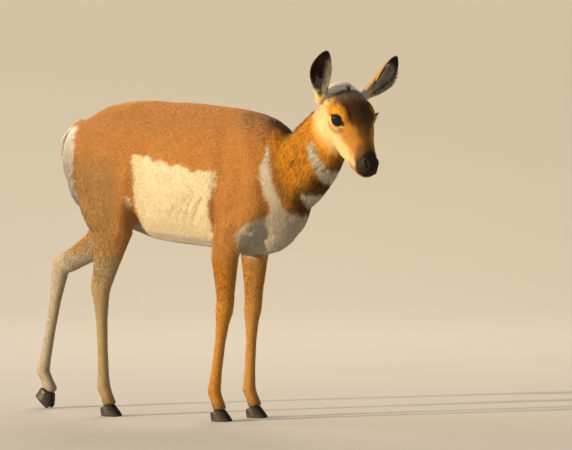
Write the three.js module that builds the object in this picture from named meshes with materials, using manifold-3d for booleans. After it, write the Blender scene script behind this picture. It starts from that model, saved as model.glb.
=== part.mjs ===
// A young pronghorn, hornless, standing with one hind leg stretched back and
// its head turned to its right. Life size, in millimetres.
// +X is the way the body faces, +Y is the animal's left and +Z is up.
// The origin is on the floor, in the middle of the animal's box.

import * as THREE from 'three';
import { LoftGeometry } from 'three/addons/geometries/LoftGeometry.js';
import { mergeVertices } from 'three/addons/utils/BufferGeometryUtils.js';
import Module from 'manifold-3d';

const wasm = await Module();
wasm.setup();

// Driving dimensions
const GAP = 0.3; // width of the thin cut between two parts
const LEG_SPREAD = 58; // from the middle plane to a leg's middle
const HEAD_PITCH = 50; // degrees the long axis of the head points down
const HEAD_YAW = -32; // degrees the head turns, negative to its right
const HEAD_PIVOT = new THREE.Vector3(95, 0, 12); // between the eyes, in the head's own frame
const HEAD_PLACE = new THREE.Vector3(503, -50, 695); // where that point stands
const EYE_RADIUS = 17;
const EYE_CENTRE = new THREE.Vector3(94, 37, 13); // left eye, in the head's own frame
const EYE_AXIS = new THREE.Vector3(0.42, 0.87, 0.26).normalize();
const LID_THICKNESS = 2.4;
const EYE_OPENING = { long: 32, high: 21, tilt: -24 };
const EAR_LENGTH = 111;
const EAR_CUT = 13; // how far up an ear it parts from the head
const EAR_BOW = 12; // how far the middle of an ear swings outward
const HOOF_LENGTH = 48;
const CLAW_WIDTH = 15.5;
const CLAW_SPACING = 18.4; // between the middles of a foot's two claws
const TAIL_TOP = 674; // height of the tail's root
const TAIL_LENGTH = 84;
const CORONET_SLOPE = 16; // degrees the hairline of the hoof falls towards the heel
const CORONET_OFFSET = new THREE.Vector3(-4, 0, -3);
const CUTTER = 1500; // a box larger than the animal

const UP = new THREE.Vector3(0, 0, 1);
const FORWARD = new THREE.Vector3(1, 0, 0);
const vec = (x, y, z) => new THREE.Vector3(x, y, z);
const deg = THREE.MathUtils.degToRad;

// Trunk from rump to breast: x, top, bottom, half width, height of the widest line
const TRUNK = [
  [-258, 652, 545, 44, 602],
  [-232, 684, 500, 66, 600],
  [-190, 708, 468, 80, 592],
  [-132, 728, 448, 86, 585],
  [-72, 735, 432, 88, 572],
  [0, 731, 405, 92, 552],
  [80, 725, 397, 94, 540],
  [150, 719, 388, 89, 540],
  [210, 711, 380, 81, 540],
  [265, 694, 380, 71, 538],
  [306, 656, 389, 62, 534],
  [335, 612, 409, 51, 530],
  [358, 578, 438, 35, 526],
];

// Neck from inside the chest to inside the skull:
// x, y, z of the middle, half depth at the nape, half depth at the throat, half width
const NECK = [
  [262, 0, 560, 108, 112, 62],
  [318, 0, 572, 96, 100, 56],
  [364, -3, 598, 79, 82, 50],
  [396, -9, 630, 71, 73, 46],
  [428, -17, 668, 63, 59, 43],
  [456, -26, 706, 53, 45, 42],
  [470, -32, 734, 40, 34, 38],
];

// Head along its own long axis, from the poll to the lips:
// x, top, bottom, half width, height of the widest line
const HEAD = [
  [2, 30, -36, 36, 4],
  [25, 39, -54, 48, 2],
  [55, 47, -62, 53, 2],
  [82, 50, -66, 53, 2],
  [108, 46, -67, 49, -4],
  [140, 36, -63, 41, -12],
  [162, 30, -57, 35, -14],
  [182, 25, -50, 31, -14],
  [202, 22, -43, 28, -12],
  [219, 17, -36, 25, -11],
  [229, 9, -31, 19, -12],
];

// Foreleg: place along its line, half size to the front, to the back, to the side
const FORELEG_SIZES = [
  [0, 50, 46, 27],
  [0.4, 43, 43, 27],
  [1, 35, 36, 24],
  [1.35, 30, 29, 21],
  [1.72, 24, 23, 18],
  [1.92, 22.5, 21, 17.5],
  [2.06, 21, 23, 17.5],
  [2.2, 15, 18, 14],
  [2.42, 12, 14, 11.5],
  [2.75, 12, 14, 11],
  [2.92, 14, 16, 13.5],
  [3, 15, 18, 15],
  [3.45, 14.5, 15, 14],
  [4, 16, 15, 16],
];

// The foreleg's line from the point of the elbow to the coronet
const FORELEG_STOPS = ['top', 'forearm', 'knee', 'fetlock', 'coronet'];
const FORELEG_RIGHT = {
  top: vec(196, -LEG_SPREAD, 452),
  forearm: vec(176, -LEG_SPREAD, 380),
  knee: vec(177, -LEG_SPREAD, 264),
  fetlock: vec(150, -LEG_SPREAD - 2, 68),
  coronet: vec(164, -LEG_SPREAD - 3, 27),
};
const FORELEG_LEFT = {
  top: vec(206, LEG_SPREAD, 452),
  forearm: vec(191, LEG_SPREAD, 380),
  knee: vec(187, LEG_SPREAD, 260),
  fetlock: vec(176, LEG_SPREAD + 2, 66),
  coronet: vec(190, LEG_SPREAD + 3, 27),
};

// Hind leg: place along its line, half size to the front, to the back, to the side
const HINDLEG_SIZES = [
  [0, 66, 56, 26],
  [0.5, 84, 76, 36],
  [1, 88, 82, 39],
  [1.5, 78, 76, 37],
  [1.8, 62, 64, 33],
  [2, 52, 53, 29],
  [2.5, 42, 45, 24],
  [3, 34, 36, 20],
  [3.5, 27, 30, 17.5],
  [3.85, 23, 29, 17],
  [4, 22, 27, 16.5],
  [4.12, 18, 20, 15],
  [4.3, 13.5, 15.5, 12.5],
  [4.6, 12, 13.5, 11],
  [4.88, 13, 14.5, 12],
  [5, 15, 18, 15],
  [5.45, 14.5, 15, 14],
  [6, 16, 15, 16],
];

const HINDLEG_STOPS = ['hip', 'thigh', 'stifle', 'gaskin', 'hock', 'fetlock', 'coronet'];
const HINDLEG_RIGHT = {
  hip: vec(-160, -46, 650),
  thigh: vec(-139, -53, 545),
  stifle: vec(-119, -60, 425),
  gaskin: vec(-134, -60, 355),
  hock: vec(-149, -59, 290),
  fetlock: vec(-142, -59, 68),
  coronet: vec(-127, -60, 27),
};
const HINDLEG_LEFT = {
  hip: vec(-160, 46, 650),
  thigh: vec(-150, 53, 555),
  stifle: vec(-168, 58, 462),
  gaskin: vec(-232, 58, 386),
  hock: vec(-324, 58, 332),
  fetlock: vec(-374, 60, 86),
  coronet: vec(-355, 61, 43),
};
const TOE_STANCE = 44; // degrees the stretched hind foot tips onto its toes

// A closed body from any three.js geometry, placed by a matrix
function bodyOf(geometry, matrix = new THREE.Matrix4()) {
  const plain = new THREE.BufferGeometry();
  plain.setAttribute('position', geometry.attributes.position.clone());
  plain.setIndex(geometry.index);
  plain.applyMatrix4(matrix);
  const merged = mergeVertices(plain, 1e-3);
  const index = merged.index.array;
  const faces = [];
  for (let i = 0; i < index.length; i += 3) {
    const [a, b, c] = [index[i], index[i + 1], index[i + 2]];
    if (a !== b && b !== c && c !== a) faces.push(a, b, c);
  }
  return new wasm.Manifold(new wasm.Mesh({
    numProp: 3,
    vertProperties: new Float32Array(merged.attributes.position.array),
    triVerts: new Uint32Array(faces),
  }));
}

// A matrix that stands a body's own axes on the given directions
function frameAt(place, along, upward) {
  const x = along.clone().normalize();
  const y = new THREE.Vector3().crossVectors(upward, x).normalize();
  const z = new THREE.Vector3().crossVectors(x, y);
  return new THREE.Matrix4().makeBasis(x, y, z).setPosition(place);
}

// An ellipsoid with its half sizes along the given matrix's axes
function ellipsoid(place, sizes, matrix = new THREE.Matrix4(), across = 14, down = 9) {
  const ball = new THREE.SphereGeometry(1, across, down);
  ball.scale(...sizes);
  ball.translate(place.x, place.y, place.z);
  return bodyOf(ball, matrix);
}

// One ring of a loft: an oval with its own half size to the top, the bottom and the side
function oval(centre, tangent, up, [top, bottom, side], shrink, sides, power) {
  const high = up.clone().addScaledVector(tangent, -up.dot(tangent)).normalize();
  const wide = new THREE.Vector3().crossVectors(tangent, high);
  const points = [];
  for (let i = 0; i < sides; i += 1) {
    const angle = (i / sides) * 2 * Math.PI;
    const [c, s] = [Math.cos(angle), Math.sin(angle)];
    const bend = c > 0 ? power[0] : power[1];
    const reachUp = Math.sign(c) * Math.abs(c) * (c > 0 ? top : bottom);
    const reachSide = Math.sign(s) * Math.abs(s) ** bend * side;
    points.push(centre.clone().addScaledVector(high, reachUp * shrink)
      .addScaledVector(wide, reachSide * shrink));
  }
  return points;
}

// A closed, round-ended body along a smooth line through its stations
function loft(stations, { sides, rings, up = UP, domes, power = [1, 1] }) {
  const smooth = (points) => new THREE.CatmullRomCurve3(points, false, 'catmullrom', 0.5);
  const spine = smooth(stations.map((s) => s.at));
  const sizes = smooth(stations.map((s) => vec(s.top, s.bottom, s.side)));
  const steps = (stations.length - 1) * rings;
  const domeRings = [72, 45, 20].map(deg);
  const plan = [
    ...domeRings.map((a) => [0, Math.cos(a), -Math.sin(a) * domes[0]]),
    ...Array.from({ length: steps + 1 }, (_, i) => [i / steps, 1, 0]),
    ...domeRings.toReversed().map((a) => [1, Math.cos(a), Math.sin(a) * domes[1]]),
  ];
  const sections = plan.map(([t, shrink, push]) => {
    const tangent = spine.getTangent(t);
    const centre = spine.getPoint(t).addScaledVector(tangent, push);
    return oval(centre, tangent, up, sizes.getPoint(t).toArray(), shrink, sides, power);
  });
  return new LoftGeometry(sections, { capStart: true, capEnd: true });
}

// Stations from rows of x, top, bottom, half width and height of the widest line
function stationsAlongX(rows) {
  return rows.map(([x, top, bottom, side, widest]) => ({
    at: vec(x, 0, widest),
    top: top - widest,
    bottom: widest - bottom,
    side,
  }));
}

// A thin blade that parts what it crosses: its flat side faces along the given direction
function blade(place, facing, width, height, upward = UP) {
  return bodyOf(new THREE.BoxGeometry(GAP, width, height), frameAt(place, facing, upward));
}

function trunk() {
  return bodyOf(loft(stationsAlongX(TRUNK), {
    sides: 22, rings: 2, domes: [8, 8], power: [0.86, 0.9],
  }));
}

function neck() {
  const stations = NECK.map(([x, y, z, top, bottom, side]) => ({ at: vec(x, y, z), top, bottom, side }));
  return bodyOf(loft(stations, { sides: 18, rings: 2, domes: [20, 14] }));
}

// The shoulder blade's muscle and the upper arm, on one side
function shoulder(side) {
  const muscle = [
    { at: vec(214, side * 24, 684), top: 30, bottom: 34, side: 14 },
    { at: vec(230, side * 46, 618), top: 40, bottom: 50, side: 22 },
    { at: vec(246, side * 52, 548), top: 42, bottom: 58, side: 27 },
    { at: vec(250, side * 54, 490), top: 38, bottom: 58, side: 28 },
    { at: vec(226, side * 57, 448), top: 36, bottom: 50, side: 27 },
  ];
  return bodyOf(loft(muscle, { sides: 12, rings: 1, up: FORWARD, domes: [12, 16] }));
}

// A leg along its line of stops
function leg(line, stops, sizes) {
  const stopPlaces = stops.map((name) => line[name]);
  const stations = sizes.map(([place, top, bottom, side]) => {
    const from = Math.min(Math.floor(place), stops.length - 2);
    const at = stopPlaces[from].clone().lerp(stopPlaces[from + 1], place - from);
    return { at, top, bottom, side };
  });
  return bodyOf(loft(stations, { sides: 12, rings: 1, up: FORWARD, domes: [14, 8], power: [0.95, 0.95] }));
}

// One claw of a cloven hoof, its sole at z = 0 and its coronet above the origin
function claw() {
  const rows = [
    [-9, 0.62, -0.38, 1],
    [3, 0.6, -0.39, 1],
    [12, 0.46, -0.42, 1],
    [22, 0.28, -0.44, 0.96],
    [31, 0.12, -0.44, 0.9],
  ];
  const sections = rows.map(([z, toe, heel, wide]) => {
    const points = [];
    for (let i = 0; i < 12; i += 1) {
      const angle = (i / 12) * 2 * Math.PI;
      const middle = ((toe + heel) / 2) * HOOF_LENGTH;
      const half = ((toe - heel) / 2) * HOOF_LENGTH;
      const taper = 1 - 0.3 * Math.max(0, Math.cos(angle));
      points.push(vec(
        middle + half * Math.cos(angle),
        (CLAW_WIDTH / 2) * wide * taper * Math.sin(angle),
        z,
      ));
    }
    return points;
  });
  return new LoftGeometry(sections, { capStart: true, capEnd: true });
}

// Both claws of a foot, toes slightly apart, tipped forward by the given angle
function hoofPair(coronet, tip) {
  return [-1, 1].map((side) => {
    const splay = new THREE.Matrix4().makeRotationZ(side * deg(3));
    const spread = new THREE.Matrix4().makeTranslation(0, (side * CLAW_SPACING) / 2, -27);
    const lean = new THREE.Matrix4().makeRotationY(deg(tip));
    const stand = new THREE.Matrix4().makeTranslation(coronet.x, coronet.y, coronet.z);
    return bodyOf(claw(), stand.multiply(lean).multiply(spread).multiply(splay));
  });
}

// All that lies beyond a plane, which faces the given way
function beyond(place, facing, offset = 0, upward = UP) {
  const centre = place.clone().addScaledVector(facing, CUTTER / 2 + offset);
  return bodyOf(new THREE.BoxGeometry(CUTTER, CUTTER, CUTTER), frameAt(centre, facing, upward));
}

// A body parted at a plane into its root and its free end, with the thin gap between them
function partedAt(body, place, facing, upward) {
  return {
    root: body.subtract(beyond(place, facing, -GAP / 2, upward)),
    end: body.intersect(beyond(place, facing, GAP / 2, upward)),
  };
}

// The plane of a foot's hairline, where horn and hair meet
function coronetFacing(tip) {
  const slope = deg(tip - CORONET_SLOPE);
  return vec(Math.sin(slope), 0, Math.cos(slope));
}

// From the head's own frame to the floor's
function headMatrix() {
  return new THREE.Matrix4()
    .makeTranslation(HEAD_PLACE.x, HEAD_PLACE.y, HEAD_PLACE.z)
    .multiply(new THREE.Matrix4().makeRotationZ(deg(HEAD_YAW)))
    .multiply(new THREE.Matrix4().makeRotationY(deg(HEAD_PITCH)))
    .multiply(new THREE.Matrix4().makeTranslation(-HEAD_PIVOT.x, -HEAD_PIVOT.y, -HEAD_PIVOT.z));
}

const mirrored = (v, side) => vec(v.x, v.y * side, v.z);

// The almond between the lids, as a cutter pointing out of the left or right eye
function eyeOpening(side) {
  const half = EYE_OPENING.long / 2;
  const rise = EYE_OPENING.high / 2;
  const almond = new THREE.Shape();
  almond.moveTo(-half, 0);
  almond.bezierCurveTo(-half * 0.5, rise * 1.4, half * 0.5, rise * 1.4, half, 0);
  almond.bezierCurveTo(half * 0.5, -rise * 1.3, -half * 0.5, -rise * 1.3, -half, 0);
  const cutter = new THREE.ExtrudeGeometry(almond, {
    depth: EYE_RADIUS * 1.5, bevelEnabled: false, curveSegments: 7,
  });
  cutter.rotateZ(deg(EYE_OPENING.tilt) * side);
  cutter.translate(0, 0, EYE_RADIUS * 0.35);
  const out = mirrored(EYE_AXIS, side);
  const along = FORWARD.clone().addScaledVector(out, -FORWARD.dot(out)).normalize();
  const across = new THREE.Vector3().crossVectors(out, along);
  const matrix = new THREE.Matrix4().makeBasis(along, across, out)
    .setPosition(mirrored(EYE_CENTRE, side));
  return bodyOf(cutter, matrix);
}

// The groove of the mouth: a thin wavy band round the muzzle, only skin deep
function mouthLine() {
  const band = new THREE.Shape();
  band.moveTo(181, -32);
  band.quadraticCurveTo(206, -20, 250, -11);
  band.lineTo(250, -13.2);
  band.quadraticCurveTo(206, -22.2, 181, -34.4);
  band.closePath();
  const cutter = new THREE.ExtrudeGeometry(band, { depth: 90, bevelEnabled: false, curveSegments: 6 });
  cutter.translate(0, 0, -45);
  cutter.rotateX(Math.PI / 2);
  const inner = HEAD.map(([x, top, bottom, side, widest]) => [x - 6, top - 6, bottom + 6, side - 6, widest]);
  const core = bodyOf(loft(stationsAlongX(inner), {
    sides: 16, rings: 1, domes: [2, 3], power: [0.9, 0.92],
  }));
  return bodyOf(cutter).subtract(core);
}

// The head in its own frame, with brows, cheeks, lips and lids, and its openings cut
function head() {
  let flesh = bodyOf(loft(stationsAlongX(HEAD), {
    sides: 22, rings: 2, domes: [12, 6], power: [0.9, 0.92],
  }));
  const openings = [mouthLine()];
  for (const side of [-1, 1]) {
    const eye = mirrored(EYE_CENTRE, side);
    flesh = flesh
      .add(ellipsoid(vec(86, side * 28, 27), [37, 21, 17]))
      .add(ellipsoid(vec(80, side * 32, -30), [38, 17, 24]))
      .add(ellipsoid(vec(213, side * 12, 6), [14, 10.5, 12]))
      .add(ellipsoid(eye, Array(3).fill(EYE_RADIUS + LID_THICKNESS)));
    openings.push(
      ellipsoid(eye, Array(3).fill(EYE_RADIUS + GAP)),
      eyeOpening(side),
      ellipsoid(vec(0, 0, 0), [9, 3.6, 5], new THREE.Matrix4()
        .makeTranslation(218, side * 14.5, 13)
        .multiply(new THREE.Matrix4().makeRotationZ(side * deg(28)))
        .multiply(new THREE.Matrix4().makeRotationY(deg(40))), 12, 8),
    );
  }
  return openings.reduce((body, opening) => body.subtract(opening), flesh);
}

// One ear: a leaf rolled into a cup, open along its front, on a solid root
function ear(root, along, facing, side) {
  // share of the length, radius of the roll, half angle it wraps, thickness, how far it bows back
  const rows = [
    [0, 14, 172, 8, 0],
    [0.14, 17, 150, 7, -1],
    [0.28, 20, 122, 5.5, -3],
    [0.44, 24, 100, 4.8, -5],
    [0.6, 25, 86, 4.4, -6],
    [0.75, 22, 78, 4.2, -5],
    [0.87, 16.5, 72, 3.8, -3],
    [0.95, 10.5, 68, 3.2, 0],
    [1, 5, 62, 2.4, 3],
  ];
  const smooth = (points) => new THREE.CatmullRomCurve3(points, false, 'catmullrom', 0.5);
  const line = smooth(rows.map(([share, , , , bow]) => vec(
    share * EAR_LENGTH,
    -side * EAR_BOW * Math.sin(share * Math.PI * 0.9),
    bow,
  )));
  const roll = smooth(rows.map(([, radius, wrap, thick]) => vec(radius, wrap, thick)));
  const steps = 11;
  const arc = 7;
  const sections = Array.from({ length: steps + 1 }, (_, i) => {
    const back = line.getPoint(i / steps);
    const [radius, wrap, thick] = roll.getPoint(i / steps).toArray();
    const centre = back.z + radius;
    const ring = [];
    for (let j = 0; j <= arc; j += 1) {
      const angle = deg(wrap) * ((2 * j) / arc - 1);
      ring.push(vec(back.x, back.y + radius * Math.sin(angle), centre - radius * Math.cos(angle)));
    }
    for (let j = arc; j >= 0; j -= 1) {
      const angle = deg(wrap) * ((2 * j) / arc - 1);
      const inner = radius - thick;
      ring.push(vec(back.x, back.y + inner * Math.sin(angle), centre - inner * Math.cos(angle)));
    }
    return ring;
  });
  const matrix = frameAt(root, along, facing);
  const shell = bodyOf(new LoftGeometry(sections, { capStart: true, capEnd: true }), matrix);
  const plug = ellipsoid(vec(-4, 0, 12), [22, 12.5, 12], matrix, 12, 8);
  const cut = root.clone().addScaledVector(along, EAR_CUT);
  return partedAt(shell.add(plug), cut, along, facing);
}

// The tail, flat against the rump, or the room for it where it is grown by a margin
function tail(margin = 0) {
  const stations = [
    { at: vec(-228, 0, TAIL_TOP), top: 11, bottom: 11, side: 14 },
    { at: vec(-252, 0, TAIL_TOP - 12), top: 9, bottom: 9, side: 15 },
    { at: vec(-269, 0, TAIL_TOP - 32), top: 7, bottom: 7, side: 17 },
    { at: vec(-276, 0, TAIL_TOP - 58), top: 6, bottom: 6, side: 16 },
    { at: vec(-277, 0, TAIL_TOP - TAIL_LENGTH), top: 5, bottom: 4, side: 9 },
  ].map(({ at, top, bottom, side }) => (
    { at, top: top + margin, bottom: bottom + margin, side: side + margin }
  ));
  const body = bodyOf(loft(stations, {
    sides: 12, rings: 1, up: FORWARD, domes: [8, 10 + margin],
  }));
  return partedAt(body, vec(-258, 0, TAIL_TOP - 17), vec(-0.8, 0, -0.6));
}

function meshOf(name, body, colour, roughness) {
  const { vertProperties, triVerts } = body.getMesh();
  const geometry = new THREE.BufferGeometry();
  geometry.setAttribute('position', new THREE.BufferAttribute(vertProperties, 3));
  geometry.setIndex(new THREE.BufferAttribute(triVerts, 1));
  const material = new THREE.MeshStandardMaterial({ color: colour, roughness, metalness: 0 });
  const mesh = new THREE.Mesh(geometry, material);
  mesh.name = name;
  return mesh;
}

// The whole animal is joined first, then parted by thin blades
const toFloor = headMatrix();
const place = (v) => v.clone().applyMatrix4(toFloor);
const turn = (v) => v.clone().transformDirection(toFloor);

const EAR_RIGHT = ear(place(vec(10, -51, 6)), vec(0.35, -0.34, 0.87).normalize(),
  vec(0.5, -0.8, -0.45).normalize(), -1);
const EAR_LEFT = ear(place(vec(15, 56, 11)), vec(0.57, 0.31, 0.76).normalize(),
  vec(0.75, -0.45, -0.35).normalize(), 1);

// Each foot: its name, the leg's line, and how far it tips onto its toes
const feet = [
  ['fore_right', FORELEG_RIGHT, FORELEG_STOPS, FORELEG_SIZES, 0],
  ['fore_left', FORELEG_LEFT, FORELEG_STOPS, FORELEG_SIZES, 0],
  ['hind_right', HINDLEG_RIGHT, HINDLEG_STOPS, HINDLEG_SIZES, 0],
  ['hind_left', HINDLEG_LEFT, HINDLEG_STOPS, HINDLEG_SIZES, TOE_STANCE],
];

const hairline = (line) => line.coronet.clone().add(CORONET_OFFSET);
const legs = feet.map(([, line, stops, sizes, tip]) => (
  partedAt(leg(line, stops, sizes), hairline(line), coronetFacing(tip), FORWARD).end
));
const hooves = feet.flatMap(([name, line, , , tip]) => (
  hoofPair(line.coronet, tip).map((claw, i) => ({
    name: `hoof_${name}_${i === 0 ? 'right' : 'left'}_claw`,
    body: partedAt(claw, hairline(line), coronetFacing(tip), FORWARD).root
      .intersect(beyond(vec(0, 0, 0), UP, 0, FORWARD)),
  }))
));

const flesh = [
  trunk(),
  neck(),
  shoulder(-1),
  shoulder(1),
  ...legs,
  head().transform(toFloor.elements),
  EAR_RIGHT.root,
  EAR_LEFT.root,
  tail().root,
].reduce((body, piece) => body.add(piece)).subtract(tail(GAP).end);

// Where the thin blades part the rest
const legCut = (at, facing, size = 90) => blade(at, facing, size, size, FORWARD);
const between = (a, b, share) => a.clone().lerp(b, share);
const blades = [
  blade(vec(300, 0, 575), vec(0.93, 0, 0.37), 220, 330),
  blade(vec(-60, 0, 570), FORWARD, 240, 400),
  blade(place(vec(60, 0, -70)), turn(vec(0.08, 0, 1)), 170, 200, turn(FORWARD)),
  ...[FORELEG_RIGHT, FORELEG_LEFT].flatMap((line) => [
    legCut(line.forearm, UP, 94),
    legCut(between(line.forearm, line.knee, 0.86), UP),
    legCut(line.fetlock, vec(-0.3, 0, 1)),
  ]),
  legCut(HINDLEG_RIGHT.stifle, UP, 120),
  legCut(between(HINDLEG_LEFT.stifle, HINDLEG_LEFT.gaskin, 0.4), vec(0.65, 0, 0.76), 110),
  legCut(between(HINDLEG_RIGHT.gaskin, HINDLEG_RIGHT.hock, 0.6), UP),
  legCut(between(HINDLEG_LEFT.gaskin, HINDLEG_LEFT.hock, 0.7), vec(0.86, 0, 0.5)),
  legCut(HINDLEG_RIGHT.fetlock, vec(-0.3, 0, 1)),
  legCut(HINDLEG_LEFT.fetlock, vec(0, 0, 1)),
];
const parted = blades.reduce((body, cut) => body.subtract(cut), flesh).decompose();

// A point inside each part tells which piece is which
const insides = {
  head: place(vec(120, 0, -10)),
  neck: vec(370, -5, 600),
  torso: vec(80, 0, 560),
  hindquarters: vec(-160, 0, 600),
  forearm_right: between(FORELEG_RIGHT.forearm, FORELEG_RIGHT.knee, 0.4),
  forearm_left: between(FORELEG_LEFT.forearm, FORELEG_LEFT.knee, 0.4),
  fore_cannon_right: between(FORELEG_RIGHT.knee, FORELEG_RIGHT.fetlock, 0.5),
  fore_cannon_left: between(FORELEG_LEFT.knee, FORELEG_LEFT.fetlock, 0.5),
  fore_pastern_right: between(FORELEG_RIGHT.fetlock, FORELEG_RIGHT.coronet, 0.5),
  fore_pastern_left: between(FORELEG_LEFT.fetlock, FORELEG_LEFT.coronet, 0.5),
  gaskin_right: HINDLEG_RIGHT.gaskin,
  gaskin_left: between(HINDLEG_LEFT.gaskin, HINDLEG_LEFT.hock, 0.2),
  hind_cannon_right: between(HINDLEG_RIGHT.hock, HINDLEG_RIGHT.fetlock, 0.5),
  hind_cannon_left: between(HINDLEG_LEFT.hock, HINDLEG_LEFT.fetlock, 0.5),
  hind_pastern_right: between(HINDLEG_RIGHT.fetlock, HINDLEG_RIGHT.coronet, 0.5),
  hind_pastern_left: between(HINDLEG_LEFT.fetlock, HINDLEG_LEFT.coronet, 0.5),
};

function pieceHolding(point) {
  const probe = ellipsoid(point, [2, 2, 2], undefined, 6, 4);
  return parted.find((piece) => piece.intersect(probe).volume() > 0);
}

const largest = (body) => body.decompose().toSorted((a, b) => b.volume() - a.volume())[0];

const COAT = { tan: 0xbd7a35, pale: 0xe6d3b3, dark: 0x3a2a20, horn: 0x2b2622, eye: 0x120b08 };
const pronghorn = new THREE.Group();
for (const [name, point] of Object.entries(insides)) {
  pronghorn.add(meshOf(name, pieceHolding(point), COAT.tan, 0.9));
}
pronghorn.add(meshOf('ear_right', largest(EAR_RIGHT.end), COAT.dark, 0.9));
pronghorn.add(meshOf('ear_left', largest(EAR_LEFT.end), COAT.dark, 0.9));
pronghorn.add(meshOf('tail', largest(tail().end), COAT.pale, 0.9));
for (const { name, body } of hooves) {
  pronghorn.add(meshOf(name, largest(body), COAT.horn, 0.55));
}
for (const [name, side] of [['eye_right', -1], ['eye_left', 1]]) {
  const ball = ellipsoid(mirrored(EYE_CENTRE, side), Array(3).fill(EYE_RADIUS), toFloor);
  pronghorn.add(meshOf(name, ball, COAT.eye, 0.08));
}

// The model stands on the floor with the origin in the middle of its box
const box = new THREE.Box3().setFromObject(pronghorn);
const middle = box.getCenter(new THREE.Vector3());
pronghorn.position.set(-middle.x, -middle.y, -box.min.z);

export default pronghorn;
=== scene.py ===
"""A young pronghorn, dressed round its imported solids: one skin, a coat of tufts, eyes and hooves.

Lengths are in millimetres in the animal's working frame, which the head's pose is given in,
and they become metres in the row's frame as each mesh is made. +X is the way the body faces,
+Y its left and +Z up.
"""

import math

import bmesh
import bpy
import numpy as np
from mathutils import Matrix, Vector
from mathutils.bvhtree import BVHTree


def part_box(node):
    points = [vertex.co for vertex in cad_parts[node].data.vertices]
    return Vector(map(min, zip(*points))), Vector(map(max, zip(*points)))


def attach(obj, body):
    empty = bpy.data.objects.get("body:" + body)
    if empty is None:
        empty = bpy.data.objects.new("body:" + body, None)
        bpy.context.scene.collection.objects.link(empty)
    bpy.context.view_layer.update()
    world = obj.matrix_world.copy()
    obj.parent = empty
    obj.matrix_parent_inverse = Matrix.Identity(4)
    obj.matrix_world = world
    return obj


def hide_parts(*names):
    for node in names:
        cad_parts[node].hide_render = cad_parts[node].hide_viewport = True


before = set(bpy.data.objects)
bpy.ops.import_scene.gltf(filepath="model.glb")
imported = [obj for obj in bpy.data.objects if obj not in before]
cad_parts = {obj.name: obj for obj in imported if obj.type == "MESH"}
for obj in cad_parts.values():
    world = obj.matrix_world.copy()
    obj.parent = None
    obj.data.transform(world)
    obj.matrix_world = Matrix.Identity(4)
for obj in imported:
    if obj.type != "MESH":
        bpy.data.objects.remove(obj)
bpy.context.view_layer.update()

bl_info = {
    "name": "Young pronghorn",
    "version": (1, 0, 0),
    "blender": (4, 5, 0),
    "location": "View3D > Sidebar > Pronghorn",
    "description": "Skin, coat, eyes and hooves of a young pronghorn, with its stage",
    "category": "Object",
}

# The head's pose, as the solids have it
HEAD_PITCH = math.radians(50)
HEAD_YAW = math.radians(-32)
HEAD_PIVOT = np.array((95.0, 0.0, 12.0))
HEAD_PLACE = np.array((503.0, -50.0, 695.0))
EYE_CENTRE = np.array((94.0, 37.0, 13.0))
EYE_AXIS = np.array((0.42, 0.87, 0.26)) / np.linalg.norm((0.42, 0.87, 0.26))
EYE_RADIUS = 17.0
LID_TILT = math.radians(-24)
LID_LONG, LID_HIGH = 33.0, 22.0

FLESH = (
    "head neck torso hindquarters tail ear_right ear_left forearm_right forearm_left "
    "fore_cannon_right fore_cannon_left fore_pastern_right fore_pastern_left gaskin_right "
    "gaskin_left hind_cannon_right hind_cannon_left hind_pastern_right hind_pastern_left"
).split()
SIDES = (("right", -1), ("left", 1))
FEET = ("fore_right", "fore_left", "hind_right", "hind_left")
CLAWS = [f"hoof_{foot}_{side}_claw" for foot in FEET for side in ("right", "left")]
LIMBS = [name for name in FLESH if name.split("_")[0] in ("forearm", "fore", "gaskin", "hind")]

# Starts of the random draws
WOBBLE_SEED, COAT_SEED, LONG_HAIR_SEED, LASH_SEED = 900, 4711, 99, 5

# Regions of the body and what the coat does there, in millimetres:
# depth of the coat over the skin, length and width of a tuft, tufts for each square centimetre
COAT = {
    "head": (1.2, 4.4, 0.55, 62.0),
    "neck": (3.2, 9.5, 0.9, 43.0),
    "torso": (3.0, 8.0, 0.85, 40.0),
    "hindquarters": (3.0, 8.0, 0.85, 40.0),
    "tail": (3.0, 13.0, 1.0, 44.0),
    "ear": (0.5, 3.8, 0.55, 52.0),
    "forearm": (2.0, 6.5, 0.75, 46.0),
    "gaskin": (2.2, 7.0, 0.75, 44.0),
    "cannon": (1.3, 5.0, 0.6, 52.0),
    "pastern": (1.2, 5.0, 0.6, 52.0),
}
SMOOTHING = {"torso": 1.0, "hindquarters": 0.9, "neck": 0.9, "tail": 0.3, "head": 0.1, "ear": 0.03,
             "forearm": 0.5, "gaskin": 0.5, "cannon": 0.3, "pastern": 0.3}


def turned(axis, angle):
    """The matrix that turns by an angle about Y or Z."""
    c, s = math.cos(angle), math.sin(angle)
    if axis == "Y":
        return np.array(((c, 0, s), (0, 1, 0), (-s, 0, c)))
    return np.array(((c, -s, 0), (s, c, 0), (0, 0, 1)))


HEAD_TURN = turned("Z", HEAD_YAW) @ turned("Y", HEAD_PITCH)


def from_head(points):
    """Points of the head's own frame in the working frame."""
    return (np.asarray(points, float) - HEAD_PIVOT) @ HEAD_TURN.T + HEAD_PLACE


def into_head(points):
    return (points - HEAD_PLACE) @ HEAD_TURN + HEAD_PIVOT


def folded(points):
    """Points with the left half laid over the right one."""
    return np.column_stack((points[:, 0], np.abs(points[:, 1]), points[:, 2]))


def on(numbers, node):
    """Where a list of node numbers names one node of the flesh."""
    return numbers == FLESH.index(node)


def centre_of(node):
    low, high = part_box(node)
    return np.array((low + high) / 2) * 1000


MIRROR = np.array((1.0, -1.0, 1.0))
SHIFT = centre_of("eye_right") - from_head(EYE_CENTRE * MIRROR)


def unit(vectors):
    length = np.linalg.norm(vectors, axis=-1, keepdims=True)
    return vectors / np.maximum(length, 1e-9)


def ramp(value, low, high):
    """0 below low, 1 above high and smooth between, or the other way round if low is the larger."""
    t = np.clip((value - low) / (high - low), 0, 1)
    return t * t * (3 - 2 * t)


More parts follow.
